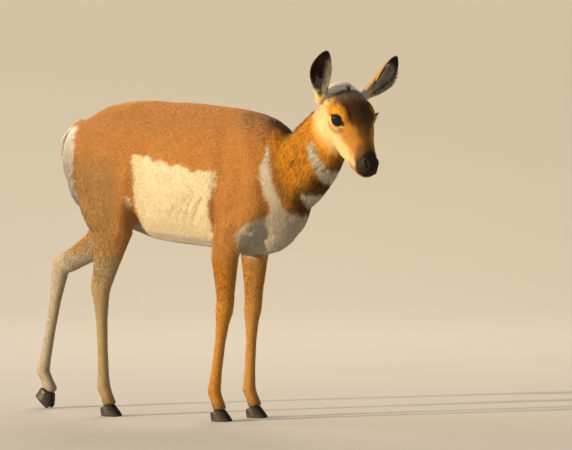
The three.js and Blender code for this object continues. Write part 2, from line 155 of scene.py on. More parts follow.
def bell(value, width):
    return np.exp(-(value / width) ** 2)


def wobble(points, size, seed=0):
    """Smooth noise from -1 to 1, the sum of a few slanted waves."""
    rng = np.random.default_rng(WOBBLE_SEED + seed)
    total = np.zeros(len(points))
    for _ in range(7):
        way = rng.normal(size=3)
        way *= rng.uniform(0.6, 1.7) * 2 * math.pi / (size * np.linalg.norm(way))
        total += np.sin(points @ way + rng.uniform(0, 2 * math.pi))
    return total / 3.2


# Meshes

def mesh_arrays(mesh):
    """A mesh's points in the working frame and its triangles."""
    mesh.calc_loop_triangles()
    co = np.empty(len(mesh.vertices) * 3)
    mesh.vertices.foreach_get("co", co)
    tris = np.empty(len(mesh.loop_triangles) * 3, int)
    mesh.loop_triangles.foreach_get("vertices", tris)
    return co.reshape(-1, 3) * 1000 - SHIFT, tris.reshape(-1, 3)


def linked(name, data):
    """A new object of the scene for a mesh, a camera or a lamp."""
    made = bpy.data.objects.new(name, data)
    bpy.context.scene.collection.objects.link(made)
    return made


def applied(made):
    """The mesh of an object with its modifiers applied. The object goes."""
    graph = bpy.context.evaluated_depsgraph_get()
    mesh = bpy.data.meshes.new_from_object(made.evaluated_get(graph))
    bpy.data.objects.remove(made)
    return mesh


def voxelled(made, voxel):
    """Points and triangles of an object remade on a grid of voxels, a size in metres."""
    remesh = made.modifiers.new("Voxels", "REMESH")
    remesh.mode, remesh.voxel_size = "VOXEL", voxel
    return mesh_arrays(applied(made))


def welded(points, triangles):
    """The same triangles with points in one place made one."""
    key, where = np.unique(np.round(points, 3), axis=0, return_inverse=True)
    return key, where.ravel()[triangles]


def new_object(name, points, faces):
    """An object at the origin, from points of the working frame."""
    mesh = bpy.data.meshes.new(name)
    places = (np.asarray(points) + SHIFT) / 1000
    mesh.from_pydata(places.tolist(), [], np.asarray(faces).tolist())
    mesh.update()
    mesh.shade_smooth()
    return linked(name, mesh)


def quick_object(name, points, triangles):
    """As new_object, for many thousands of triangles."""
    mesh = bpy.data.meshes.new(name)
    mesh.vertices.add(len(points))
    mesh.vertices.foreach_set("co", ((points + SHIFT) / 1000).astype(np.float32).ravel())
    mesh.loops.add(triangles.size)
    mesh.loops.foreach_set("vertex_index", triangles.astype(np.int32).ravel())
    mesh.polygons.add(len(triangles))
    mesh.polygons.foreach_set("loop_start", np.arange(0, triangles.size, 3, dtype=np.int32))
    mesh.update(calc_edges=True)
    mesh.shade_smooth()
    return linked(name, mesh)


def set_colours(mesh, name, colours):
    layer = mesh.color_attributes.new(name, "FLOAT_COLOR", "POINT")
    rgba = np.ones((len(colours), 4), np.float32)
    rgba[:, :3] = colours
    layer.data.foreach_set("color", rgba.ravel())


def normals_of(points, triangles):
    """Point normals, weighted by area."""
    a, b, c = (points[triangles[:, i]] for i in range(3))
    face = np.cross(b - a, c - a)
    total = np.empty_like(points)
    for axis in range(3):
        total[:, axis] = sum(
            np.bincount(triangles[:, i], face[:, axis], len(points)) for i in range(3))
    return unit(total)


def edges_of(triangles):
    pairs = np.sort(triangles[:, [0, 1, 1, 2, 2, 0]].reshape(-1, 2), axis=1)
    return np.unique(pairs, axis=0)


def spread(values, edges, rounds, share=0.5):
    """Values averaged with their neighbours' along the edges, a number of times over."""
    values = values.astype(float)
    flat = values.reshape(len(values), -1)
    count = len(flat)
    a, b = edges[:, 0], edges[:, 1]
    degree = np.maximum(np.bincount(a, minlength=count) + np.bincount(b, minlength=count), 1)
    share = np.broadcast_to(share, count)
    for _ in range(rounds):
        for k in range(flat.shape[1]):
            column = flat[:, k]
            near = np.bincount(a, column[b], count) + np.bincount(b, column[a], count)
            flat[:, k] = column + share * (near / degree - column)
    return flat.reshape(values.shape)


def finish_piece(piece, slot, material, *nodes):
    """Gives a finished piece its body and its material, and hides the solids' nodes that it stands
    for. The slot is not used.
    """
    piece.data.materials.clear()
    piece.data.materials.append(material)
    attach(piece, "root")
    if nodes:
        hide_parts(*nodes)


# Materials

def hair_grain():
    """Shader group: fine streaks that vary a hair colour and raise it, shared by skin and coat."""
    if "Hair grain" in bpy.data.node_groups:
        return bpy.data.node_groups["Hair grain"]
    group = bpy.data.node_groups.new("Hair grain", "ShaderNodeTree")
    face = group.interface
    face.new_socket("Colour", in_out="INPUT", socket_type="NodeSocketColor")
    for name, value in (("Streaks per metre", 900.0), ("Variation", 0.3), ("Relief", 0.3)):
        face.new_socket(name, in_out="INPUT", socket_type="NodeSocketFloat").default_value = value
    face.new_socket("Colour", in_out="OUTPUT", socket_type="NodeSocketColor")
    face.new_socket("Roughness", in_out="OUTPUT", socket_type="NodeSocketFloat")
    face.new_socket("Normal", in_out="OUTPUT", socket_type="NodeSocketVector")
    nodes, links = group.nodes, group.links
    start, end = nodes.new("NodeGroupInput"), nodes.new("NodeGroupOutput")
    where = nodes.new("ShaderNodeTexCoord")
    squeeze = nodes.new("ShaderNodeMapping")
    squeeze.inputs["Scale"].default_value = (0.35, 1.0, 0.45)
    noise = nodes.new("ShaderNodeTexNoise")
    noise.inputs["Detail"].default_value = 3.0
    noise.inputs["Roughness"].default_value = 0.62
    links.new(where.outputs["Object"], squeeze.inputs["Vector"])
    links.new(squeeze.outputs["Vector"], noise.inputs["Vector"])
    links.new(start.outputs["Streaks per metre"], noise.inputs["Scale"])
    band = nodes.new("ShaderNodeMapRange")
    band.inputs["From Min"].default_value = 0.3
    band.inputs["From Max"].default_value = 0.7
    band.inputs["To Min"].default_value = 0.5
    band.inputs["To Max"].default_value = 1.25
    links.new(noise.outputs["Fac"], band.inputs["Value"])
    shade = nodes.new("ShaderNodeMix")
    shade.data_type, shade.blend_type = "RGBA", "MULTIPLY"
    links.new(start.outputs["Variation"], shade.inputs["Factor"])
    links.new(start.outputs["Colour"], shade.inputs["A"])
    links.new(band.outputs["Result"], shade.inputs["B"])
    rough = nodes.new("ShaderNodeMapRange")
    rough.inputs["To Min"].default_value = 0.75
    rough.inputs["To Max"].default_value = 0.5
    links.new(noise.outputs["Fac"], rough.inputs["Value"])
    bump = nodes.new("ShaderNodeBump")
    bump.inputs["Distance"].default_value = 0.001
    links.new(start.outputs["Relief"], bump.inputs["Strength"])
    links.new(noise.outputs["Fac"], bump.inputs["Height"])
    links.new(shade.outputs["Result"], end.inputs["Colour"])
    links.new(rough.outputs["Result"], end.inputs["Roughness"])
    links.new(bump.outputs["Normal"], end.inputs["Normal"])
    return group


def hairy(name, streaks, variation, relief):
    """A material that reads its colour from the piece and varies it with the hair grain."""
    material = bpy.data.materials.new(name)
    material.use_nodes = True
    nodes, links = material.node_tree.nodes, material.node_tree.links
    shader = nodes["Principled BSDF"]
    paint = nodes.new("ShaderNodeAttribute")
    paint.attribute_name = "hair"
    grain = nodes.new("ShaderNodeGroup")
    grain.node_tree = hair_grain()
    grain.inputs["Streaks per metre"].default_value = streaks
    grain.inputs["Variation"].default_value = variation
    grain.inputs["Relief"].default_value = relief
    links.new(paint.outputs["Color"], grain.inputs["Colour"])
    links.new(grain.outputs["Colour"], shader.inputs["Base Color"])
    links.new(grain.outputs["Roughness"], shader.inputs["Roughness"])
    links.new(grain.outputs["Normal"], shader.inputs["Normal"])
    shader.inputs["Specular IOR Level"].default_value = 0.15
    return material


def painted(name, roughness, coat=0.0, bump_scale=0.0, bump_strength=0.0, colour_name="eye"):
    """A material that reads its colour from the piece, with a fine bump or a clear coat."""
    material = bpy.data.materials.new(name)
    material.use_nodes = True
    nodes, links = material.node_tree.nodes, material.node_tree.links
    shader = nodes["Principled BSDF"]
    paint = nodes.new("ShaderNodeAttribute")
    paint.attribute_name = colour_name
    links.new(paint.outputs["Color"], shader.inputs["Base Color"])
    shader.inputs["Roughness"].default_value = roughness
    shader.inputs["Coat Weight"].default_value = coat
    shader.inputs["Coat Roughness"].default_value = 0.02
    shader.inputs["Specular IOR Level"].default_value = 0.3 * (roughness > 0.1)
    if bump_scale:
        where = nodes.new("ShaderNodeTexCoord")
        noise = nodes.new("ShaderNodeTexNoise")
        noise.inputs["Scale"].default_value = bump_scale
        noise.inputs["Detail"].default_value = 4.0
        bump = nodes.new("ShaderNodeBump")
        bump.inputs["Strength"].default_value = bump_strength
        bump.inputs["Distance"].default_value = 0.001
        links.new(where.outputs["Object"], noise.inputs["Vector"])
        links.new(noise.outputs["Fac"], bump.inputs["Height"])
        links.new(bump.outputs["Normal"], shader.inputs["Normal"])
    return material


def plain(name, colour, roughness, specular=0.5):
    """A material of one colour, and its shader."""
    material = bpy.data.materials.new(name)
    material.use_nodes = True
    shader = material.node_tree.nodes["Principled BSDF"]
    shader.inputs["Base Color"].default_value = (*colour, 1)
    shader.inputs["Roughness"].default_value = roughness
    shader.inputs["Specular IOR Level"].default_value = specular
    return material, shader


# Markings. Colours are linear light.

TAN = np.array((0.58, 0.275, 0.078))
BACK = np.array((0.45, 0.225, 0.085))
OLIVE = np.array((0.52, 0.320, 0.130))
ORANGE = np.array((0.82, 0.370, 0.026))
LEG = np.array((0.61, 0.265, 0.038))
SHANK = np.array((0.52, 0.380, 0.200))
FACE = np.array((0.60, 0.250, 0.026))
WHITE = np.array((0.90, 0.78, 0.57))
GREY_WHITE = np.array((0.70, 0.63, 0.53))
CREAM = np.array((0.88, 0.65, 0.33))
BROWN = np.array((0.090, 0.038, 0.014))
DARK = np.array((0.020, 0.013, 0.010))
GREY = np.array((0.125, 0.095, 0.080))

# The neck's own frame: along it from the chest towards the head, and down to the throat
NECK_START = np.array((262.0, 0.0, 560.0))
NECK_ALONG = np.array((0.794, -0.106, 0.598))
NECK_THROAT = np.array((0.600, 0.0, -0.800))


def over(colour, paint, share):
    """Colour with paint laid over it where share is 1."""
    share = np.clip(share, 0, 1)[:, None]
    return colour * (1 - share) + paint * share


def body_colours(points, normals):
    """The coat's colour on trunk, neck and upper legs."""
    x, y, z = points.T
    side = np.abs(y)
    rough = wobble(points, 34, 1) * 4 + wobble(points, 13, 2) * 2.5
    colour = np.tile(TAN, (len(points), 1))
    colour = over(colour, BACK, ramp(z, 600, 715) * 0.75)
    colour = over(colour, OLIVE, ramp(x, -60, -120) * ramp(z, 640, 560) * 0.8)

    along = (points - NECK_START) @ NECK_ALONG
    down = (points - NECK_START) @ NECK_THROAT
    on_neck = ramp(along + 0.35 * down, 45, 75)
    colour = over(colour, ORANGE, on_neck * 0.85)
    wedge = ramp(down + rough, 58, 96) * on_neck
    colour = over(colour, BROWN, wedge * 0.9)
    top_line = ramp(normals[:, 2], 0.35, 0.9) * ramp(side, 46, 10)
    withers = ramp(x, 170, 240) * ramp(x, 372, 322) * ramp(z + 0.25 * (x - 240), 650, 706)
    colour = over(colour, GREY * 1.2, withers * 0.5)
    colour = over(colour, GREY * 0.6, top_line * ramp(x, 250, 300) * ramp(z, 560, 600) * 0.8)

    band_line = 157 - 0.30 * (np.clip(down, 0, 75) - 18)
    band_half = 12 + 7 * ramp(down, 70, 112)
    band = ramp(np.abs(along - band_line + rough * 0.5), band_half + 3.5, band_half - 3.5)
    colour = over(colour, GREY_WHITE * 1.02, band * ramp(down + rough * 0.6, 6, 20) * on_neck)
    low_edge = 58 - 0.72 * (down - 96)
    high_edge = 73 + 1.05 * (down - 96)
    triangle = ramp(along + rough * 0.5, low_edge - 3, low_edge + 3)
    triangle *= ramp(along + rough * 0.5, high_edge + 3, high_edge - 3) * ramp(down, 80, 88)
    colour = over(colour, GREY_WHITE * 1.02, triangle)

    stripe_x = 286 + 0.33 * np.clip(560 - z, 0, 90)
    stripe_half = 12.5 * ramp(z, 652, 570)
    stripe = ramp(np.abs(x - stripe_x + rough * 0.5), stripe_half + 3, stripe_half - 3)
    stripe *= ramp(z, 648, 630)
    colour = over(colour, GREY_WHITE * 1.05, stripe * ramp(z, 440, 470))
    chest_top = np.where(x < 344, 503 - 0.7 * (x - 311), 480 - 0.32 * (x - 344))
    chest_top = np.where(x < 303, 432 + 0.62 * (x - 211), chest_top)
    chest = ramp(z + rough * 0.7, chest_top + 4, chest_top - 4) * ramp(x + rough, 212, 226)
    colour = over(colour, GREY_WHITE, chest)

    flank_top = 609 - 0.185 * (x + 50) - 10 * bell(x - 112, 14)
    flank_front = np.interp(z, (445, 473, 503, 543, 575), (148, 146, 151, 163, 166))
    flank = ramp(z + rough * 0.8, flank_top + 4, flank_top - 4) * ramp(x + rough * 0.6, -54, -47)
    flank *= ramp(x + rough * 0.8, flank_front + 4, flank_front - 4)
    colour = over(colour, WHITE, flank)
    belly = ramp(normals[:, 2], -0.55, -0.8) * ramp(x, -130, -90) * ramp(z, 480, 440)
    colour = over(colour, GREY_WHITE, belly)
    between_legs = ramp(side, 44, 34) * ramp(z, 470, 440) * ramp(z, 300, 340)
    colour = over(colour, GREY_WHITE, between_legs)
    fold = bell(x + 60, 10) * ramp(z, 476, 488) * ramp(z, 520, 504)
    colour = over(colour, WHITE, fold * ramp(rough, -4, 2))

    rump_front = -215 + 10 * ramp(z, 500, 470) - 4 * bell(z - 560, 40)
    rump = ramp(x + rough * 0.6, rump_front + 3, rump_front - 3)
    rump *= ramp(z + rough, 484, 500) * ramp(z, 676, 664)
    colour = over(colour, GREY_WHITE * (1.22, 1.3, 1.45), rump)
    return colour


def leg_colours(points, normals, fore, right):
    """The coat's colour below elbow and stifle: tan outside, paler inside and behind."""
    z = points[:, 2]
    outward = normals[:, 1] * (-1 if right else 1)
    pale = ramp(outward + wobble(points, 20, 3) * 0.2, -0.35, -0.85)
    behind = ramp(-normals[:, 0] + wobble(points, 20, 4) * 0.15, 0.5, 0.9)
    if fore:
        colour = np.tile(LEG, (len(points), 1))
        colour = over(colour, LEG * (1.15, 1.3, 2.0), ramp(z, 330, 200) * 0.4)
        colour = over(colour, CREAM * 0.85, np.maximum(pale, behind) * 0.2)
    else:
        shank = ramp(z + 6 * wobble(points, 30, 18), 425, 335)
        colour = over(np.tile(OLIVE, (len(points), 1)), SHANK, shank)
        colour = over(colour, GREY_WHITE * 0.9, pale * 0.7)
        colour = over(colour, GREY_WHITE * 0.85, behind * 0.5)
    return over(colour, BROWN * 2.2, ramp(z, 60, 26) * 0.6)


def head_colours(points, normals):
    """The coat's colour on the head, by its own frame."""
    p = into_head(points)
    n = normals @ HEAD_TURN
    x, y, z = p.T
    side = np.abs(y)
    rough = wobble(points, 22, 5) * 3 + wobble(points, 8, 6) * 1.6
    fleck = wobble(points, 5, 15)
    colour = np.tile(FACE, (len(points), 1))
    colour = over(colour, ORANGE * 0.85, ramp(x, 104, 76) * ramp(side + rough * 0.5, 29, 38) * 0.85)
    colour = over(colour, GREY * 1.6, ramp(fleck, 0.1, 0.7) * 0.3 * ramp(x, 110, 130))
    cheek = ramp(z + rough + 0.10 * (x - 120), 8, -14) * ramp(x, 40, 62)
    colour = over(colour, CREAM, cheek * 0.92)
    behind_eye = ramp(x + 0.5 * z, 68, 50) * ramp(side, 24, 34)
    colour = over(colour, CREAM, behind_eye * 0.9)
    throat = ramp(n[:, 2], -0.5, -0.8) * ramp(x, 180, 130)
    colour = over(colour, GREY_WHITE * 0.8, throat * 0.8)
    nape = ramp(x + rough, -4, -18)
    colour = over(colour, ORANGE * 0.9, nape * ramp(z, -30, -10))

    half = np.interp(x, (26, 44, 80, 104, 122, 145, 190), (36, 42, 41, 39, 30, 17, 12))
    patch = ramp(side + rough, half + 4, half - 6) * ramp(x + rough * 0.6, 34, 41) * ramp(z, 2, 14)
    colour = over(colour, BROWN * 0.8, patch * ramp(x + rough, 205, 110) * 0.92)
    colour = over(colour, BROWN * 0.8, patch * ramp(x, 118, 100) * 0.5)
    grizzle = patch * ramp(x + rough, 84, 52)
    colour = over(colour, GREY * 2.2, grizzle * (0.25 + 0.5 * ramp(fleck, -0.2, 0.5)))
    crown = ramp(x + rough, -8, 2) * ramp(x - 0.006 * side ** 2, 35, 29)
    crown = crown * ramp(side, 56, 48) * ramp(z, 8, 20)
    crest_share = 0.75 + 0.25 * ramp(wobble(points, 10, 16), -0.4, 0.3)
    colour = over(colour, GREY_WHITE * (1.15, 1.2, 1.3), crown * crest_share)
    edge = bell(x - 34 - 0.004 * side ** 2 + rough * 0.3, 3.6) * ramp(side, 54, 46) * ramp(z, 8, 18)
    colour = over(colour, DARK * 1.6, edge * 0.95)

    eye = folded(p) - EYE_CENTRE
    reach = np.linalg.norm(eye, axis=1)
    below = ramp(eye @ np.array((0.55, 0.15, -0.82)), 8, 18) * ramp(reach, 40, 27)
    colour = over(colour, BROWN * 2.2, below * 0.6)
    # Painted highlight: a cream band along the lower lid, below the eye.
    colour = over(colour, CREAM, bell(reach - 23.5, 2.6) * ramp(eye[:, 2], -6, -13) * 0.6)
    brow = bell(reach - 27, 6) * ramp(eye[:, 2], 4, 14) * ramp(eye[:, 0], 22, 8)
    brow = brow * ramp(side + rough * 0.5, 30, 37)
    colour = over(colour, ORANGE * 0.95, brow * 0.8)
    strokes = wobble(p * (0.35, 1, 1), 4.5, 7)
    colour = over(colour, BROWN, brow * ramp(strokes, 0.0, 0.7) * 0.55)
    for way in (-1, 1):
        u, v, w = lid_place(p, way)
        gap = np.where(w > 2, slit_gap(u, v), 99)
        colour = over(colour, DARK * 0.8, ramp(gap, 4.5, 2.2))
        corner = np.hypot(u - LID_LONG / 2 - 2, v + 0.5)
        colour = over(colour, DARK * 1.5, ramp(corner, 6.5, 3) * (w > 2))
        # Painted highlight: cream along the lower lid, just outside its crease.
        colour = over(colour, CREAM * 0.8, bell(gap - 7.5, 1.8) * ramp(v, -2, -6) * 0.5)

    colour = colour * (1 + 0.09 * wobble(p * (0.4, 1, 1), 6, 17) + 0.05 * fleck)[:, None]
    dusk = ramp(x + rough + 0.3 * z, 168, 200) * ramp(z, -14, 0)
    colour = over(colour, BROWN * 0.9, dusk * 0.85)
    black_from = 193 + 0.40 * np.clip(side - 5, 0, 40) + np.clip(-2 - z, 0, 30) * 0.55
    colour = over(colour, DARK * 1.3, ramp(x + rough * 0.6, black_from - 6, black_from + 5))
    wing = line_gap(folded(p), (222, 16, 14), (210, 21, 18))
    colour = over(colour, GREY * 0.7, bell(wing - 5, 2) * 0.5)
    under = z - mouth_height(x)
    lips = bell(under - 4.5, 2.8) * ramp(x, 176, 186) * ramp(x, 226, 210)
    colour = over(colour, np.array((0.30, 0.115, 0.030)), lips * 0.7)
    chin = ramp(under, -2, -6) * ramp(x, 180, 192)
    colour = over(colour, np.array((0.42, 0.180, 0.045)), chin * 0.85)
    return over(colour, DARK * 0.7, bell(under, 2.6) * ramp(x, 176, 186))


def mouth_height(x):
    """Height of the mouth's line in the head's own frame, on the solids' groove."""
    t = (-50 + np.sqrt(2500 + 76 * np.clip(x - 181, 0, 69))) / 38
    return -32 * (1 - t) ** 2 - 40 * t * (1 - t) - 11 * t * t - 1.1


def coat_colours(points, normals, names):
    """Colours for points of the skin, by the region that each is in."""
    colour = body_colours(points, normals)
    head = on(names, "head")
    near_head = ramp((points - NECK_START) @ NECK_ALONG, 178, 206)
    blend = head * near_head
    colour = over(colour, head_colours(points, normals), blend)
    for name in LIMBS:
        mask = on(names, name)
        if mask.any():
            fore, right = name.startswith("fore"), name.endswith("right")
            limb = leg_colours(points[mask], normals[mask], fore, right)
            top = ramp(points[mask, 2], 392, 350)
            colour[mask] = over(colour[mask], limb, top)
    for word, side in SIDES:
        mask = on(names, "ear_" + word)
        if mask.any():
            colour[mask] = ear_colours(points[mask], normals[mask], side)
    tail = on(names, "tail")
    colour[tail] = over(colour[tail], GREY_WHITE * 1.1, ramp(normals[tail, 2], 0.75, 0.3))
    return colour


# The ears' own frames: root, line to the tip and the way the cup faces, as the solids have them
EAR_LENGTH = 111.0
EARS = {
    -1: (from_head((10, -51, 6)), (0.35, -0.34, 0.87), (0.5, -0.8, -0.45)),
    1: (from_head((15, 56, 11)), (0.57, 0.31, 0.76), (0.75, -0.45, -0.35)),
}


def ear_axes(side):
    root, along, facing = (np.array(v, float) for v in EARS[side])
    along = along / np.linalg.norm(along)
    across = unit(np.cross(facing, along))
    return root, along, across, np.cross(along, across)


def ear_colours(points, normals, side):
    """Tan back, black rim and tip, dark cup with pale hair at its root."""
    root, along, across, facing = ear_axes(side)
    share = (points - root) @ along / EAR_LENGTH
    wide = (points - root) @ across
    inside = ramp(normals @ facing, -0.05, 0.3)
    rough = wobble(points, 12, 8)
    colour = np.tile(ORANGE * 0.75 + TAN * 0.25, (len(points), 1))
    colour = over(colour, BROWN * 1.6, ramp(share, 0.5, 0.85) * 0.6)
    cup = np.tile(DARK * 1.4, (len(points), 1))
    cup = over(cup, BROWN * 1.2, ramp(rough, -0.2, 0.6) * 0.5)
    edge = 3 if side < 0 else 9
    pale = ramp(wide + rough * 4, edge, edge - 12) * ramp(share, 0.88, 0.66)
    pale = np.maximum(pale, ramp(share + rough * 0.06, 0.34, 0.2))
    cup = over(cup, GREY_WHITE * 0.9, pale * 0.85)
    colour = over(colour, cup, inside)
    rim = inside * ramp(normals @ facing, 0.75, 0.4) * ramp(share, 0.12, 0.3)
    colour = over(colour, DARK, rim * 0.75)
    return over(colour, DARK, ramp(share + rough * 0.03, 0.84, 0.92))


# The skin

SKIN_VOXEL = 0.0021
SKIN_KEPT = 0.2  # share of the remade skin's triangles that it keeps
NOSTRIL_PLACE = np.array((213.0, 12.0, 6.0))
NOSTRIL_PLUG = np.array((13.6, 10.2, 11.6))


def joined_flesh():
    """The flesh nodes as one set of points and triangles, with each triangle's node."""
    points, triangles, owners = [], [], []
    count = 0
    for number, name in enumerate(FLESH):
        co, tris = mesh_arrays(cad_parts[name].data)
        key, tris = welded(co, tris)
        a, b, c = tris.T
        tris = tris[(a != b) & (b != c) & (c != a)]
        points.append(key)
        triangles.append(tris + count)
        owners.append(np.full(len(tris), number))
        count += len(key)
    return np.vstack(points), np.vstack(triangles), np.concatenate(owners)


def ball(centre, radius):
    """A plain closed ball, which fills a socket before the skin is made."""
    rings, around = 10, 16
    points = [centre + (0, 0, radius)]
    for i in range(1, rings):
        polar = math.pi * i / rings
        for j in range(around):
            turn = 2 * math.pi * j / around
            points.append(centre + radius * np.array((
                math.sin(polar) * math.cos(turn), math.sin(polar) * math.sin(turn),
                math.cos(polar))))
    points.append(centre - (0, 0, radius))
    faces = [(0, 1 + j, 1 + (j + 1) % around) for j in range(around)]
    for i in range(rings - 2):
        for j in range(around):
            a, b = 1 + i * around + j, 1 + i * around + (j + 1) % around
            faces += [(a, a + around, b), (b, a + around, b + around)]
    last = len(points) - 1
    faces += [(last, last - around + (j + 1) % around, last - around + j) for j in range(around)]
    return np.array(points), np.array(faces)


class Nearest:
    """Looks up the nearest place on the solids' surface."""

    def __init__(self, points, triangles, owners):
        self.tree = BVHTree.FromPolygons(points.tolist(), triangles.tolist(), epsilon=0.0)
        self.owners = owners

    def at(self, points):
        """Signed distance, positive outside, and the node of the nearest triangle."""
        distance = np.empty(len(points))
        owner = np.empty(len(points), int)
        for i, p in enumerate(points):
            place, normal, index, gap = self.tree.find_nearest(p)
            out = sum((p[k] - place[k]) * normal[k] for k in range(3))
            distance[i] = gap if out >= 0 else -gap
            owner[i] = self.owners[index]
        return distance, owner


def kind_of(name):
    """The row of the coat's table that a node uses."""
    for kind in ("pastern", "cannon", "ear", "forearm", "gaskin"):
        if kind in name and not (kind == "ear" and "forearm" in name):
            return kind
    return name


def per_point(names, table, column=None):
    """A value of the coat's table for each point, by its node."""
    values = [table[kind_of(name)] for name in FLESH]
    if column is not None:
        values = [row[column] for row in values]
    return np.array(values, float)[names]


# Hollows and swells of both flanks: two ends (x, z) of a line, its reach and its height
FORMS = (
    ((266, 432), (252, 408), 19, -15),
    ((212, 696), (256, 560), 17, 4.5),
    ((250, 540), (226, 500), 22, 3.0),
    ((176, 670), (182, 560), 16, -5.0),
    ((206, 530), (196, 470), 24, 6.0),
    ((190, 446), (186, 424), 12, 5.0),
    ((166, 560), (156, 440), 9, -6.5),
    ((132, 508), (98, 452), 4.5, -3.4),
    ((114, 520), (80, 458), 4.5, -2.8),
    ((96, 512), (64, 462), 4.5, -2.4),
    ((76, 500), (46, 470), 4.5, -1.8),
    ((-30, 600), (-56, 450), 22, -8.0),
    ((-70, 560), (-88, 430), 14, 4.5),
    ((-86, 712), (-114, 694), 22, 3.5),
    ((-176, 640), (-168, 490), 15, -5.5),
    ((-120, 590), (-132, 470), 30, 5.0),
    ((70, 520), (0, 480), 38, 3.5),
    ((302, 600), (334, 520), 18, -5.0),
    ((344, 650), (296, 560), 24, 2.5),
    ((392, 690), (340, 590), 12, -2.5),
)
FORM_LIMITS = (-15, 5)


def line_gap(points, start, end):
    """Distance from each point to the line between two places."""
    a, b = np.array(start, float), np.array(end, float)
    t = np.clip((points - a) @ (b - a) / ((b - a) @ (b - a)), 0, 1)
    return np.linalg.norm(points - (a + t[:, None] * (b - a)), axis=1)


def body_forms(points, normals, edges):
    """The skin with the forms of the body, smoothed along its edges."""
    lift = np.zeros(len(points))
    outward = ramp(np.abs(normals[:, 1]), 0.25, 0.6)
    for start, end, reach, height in FORMS:
        lift += height * outward * bell(line_gap(points[:, [0, 2]], start, end), reach)
    lift = spread(np.clip(lift, *FORM_LIMITS), edges, 12)
    return points + normals * lift[:, None]


def lid_axes(side):
    """The eye's own frame: along the slit, across it and out."""
    out = EYE_AXIS * (1, side, 1)
    along = np.array((1.0, 0, 0)) - out * out[0]
    along /= np.linalg.norm(along)
    across = np.cross(out, along)
    c, s = math.cos(LID_TILT * side), math.sin(LID_TILT * side)
    u, v = c * along + s * across, -s * along + c * across
    return u, (-v if side > 0 else v), out


def lid_place(p, side):
    """Points of the head's frame in the eye's own."""
    u, v, out = lid_axes(side)
    offset = p - EYE_CENTRE * (1, side, 1)
    return offset @ u, offset @ v, offset @ out


def slit(u):
    """Half height of the eye's opening, above and below, at a place along it."""
    t = np.clip(np.abs(u) / (LID_LONG / 2), 0, 1)
    return LID_HIGH / 2 * (1 - t ** 2.3), LID_HIGH / 2 * 0.86 * (1 - t ** 2.0)


def slit_gap(u, v):
    """Distance outside the eye's opening, negative inside it."""
    above, below = slit(u)
    edge = np.where(v > 0, v - above, -v - below)
    return np.where(np.abs(u) > LID_LONG / 2, np.hypot(np.abs(u) - LID_LONG / 2, v), edge)


def face_forms(points, normals):
    """Lids, brows, nostrils, lips and jaw, in the head's own frame."""
    p = into_head(points)
    n = normals @ HEAD_TURN
    x, y, z = p.T
    near = (np.linalg.norm(p - (110, 0, 0), axis=1) < 150) & (x > 20)
    lift = np.zeros(len(p))
    groove = bell(z - mouth_height(x), 2.0) * ramp(x, 176, 184)
    lift -= 3.2 * groove
    lift += 1.2 * bell(z - mouth_height(x) - 5, 3.5) * ramp(x, 182, 200)
    lift -= 0.8 * bell(z - mouth_height(x) + 6, 3.5) * ramp(x, 190, 205)
    beside = folded(p)
    for start, end, reach, height in (
        ((224, 17, 17), (208, 22, 19), 3.6, 1.5),
        ((228, 8, 4), (216, 9, 14), 3.0, 0.8),
        ((236, 0, 12), (232, 0, -8), 1.8, -1.1),
        ((190, 20, -36), (222, 12, -24), 5.0, 1.8),
        ((184, 26, -22), (216, 22, -10), 6.0, 1.6),
        ((60, 42, -40), (150, 30, -50), 12, 1.5),
        ((120, 34, 0), (165, 27, -10), 16, -2.2),
        ((70, 34, 36), (108, 38, 34), 11, 2.0),
    ):
        lift += height * bell(line_gap(beside, start, end), reach)
    p = p + n * (lift * near)[:, None]
    nostril = 6.0 * bell(line_gap(beside, (226, 11, 8), (217, 16, 15)), 2.7)
    nostril += 3.0 * bell(line_gap(beside, (217, 16, 15), (209, 19, 16)), 2.0)
    inward = np.column_stack((np.full(len(p), -0.80), -0.52 * np.sign(y), np.full(len(p), -0.25)))
    p = p + inward * (nostril * near)[:, None]
    for way in (-1, 1):
        u, v, w = lid_place(p, way)
        radius = np.sqrt(u * u + v * v + w * w)
        facing = w > 2
        edge = slit_gap(u, v)
        close = facing & (radius < 34)
        inside = close & (edge < 0)
        lid = close & (edge >= 0)
        wanted = np.where(inside, EYE_RADIUS - 2.5, EYE_RADIUS + 1.5)
        crease = -1.1 * bell(edge - 6.5, 1.8) + 0.8 * bell(edge - 3.0, 2.0)
        pull = np.where(lid, ramp(edge, 9.0, 1.5), 1.0)
        factor = np.where(close, 1 + (wanted / np.maximum(radius, 1) - 1) * pull, 1.0)
        factor = np.where(lid, factor * (1 + crease / np.maximum(radius, 1)), factor)
        centre = EYE_CENTRE * (1, way, 1)
        p = centre + (p - centre) * factor[:, None]
    moved = from_head(p)
    return np.where(near[:, None], moved, points)


def refine(made, wanted, rounds):
    """Splits the faces where wanted(points) is true, so that small forms have points."""
    grid = bmesh.new()
    grid.from_mesh(made.data)
    for _ in range(rounds):
        co = np.array([v.co[:] for v in grid.verts]) * 1000 - SHIFT
        mask = wanted(co)
        edges = [e for e in grid.edges if mask[e.verts[0].index] and mask[e.verts[1].index]]
        bmesh.ops.subdivide_edges(grid, edges=edges, cuts=1, smooth=0.0)
        bmesh.ops.triangulate(grid, faces=[f for f in grid.faces if len(f.verts) > 3])
        grid.verts.index_update()
    grid.to_mesh(made.data)
    grid.free()


def fine_zone(points):
    """Where the face needs small triangles: round the eyes and on the muzzle."""
    p = into_head(points)
    side = folded(p)
    eye = np.linalg.norm(side - EYE_CENTRE, axis=1) < 30
    outer = (side - EYE_CENTRE) @ EYE_AXIS > 0
    muzzle = (p[:, 0] > 176) & (np.linalg.norm(p - (200, 0, -8), axis=1) < 60)
    return (eye & outer) | muzzle


class Skin:
    """What every later piece asks of the skin."""
    points = triangles = normals = names = lie = None


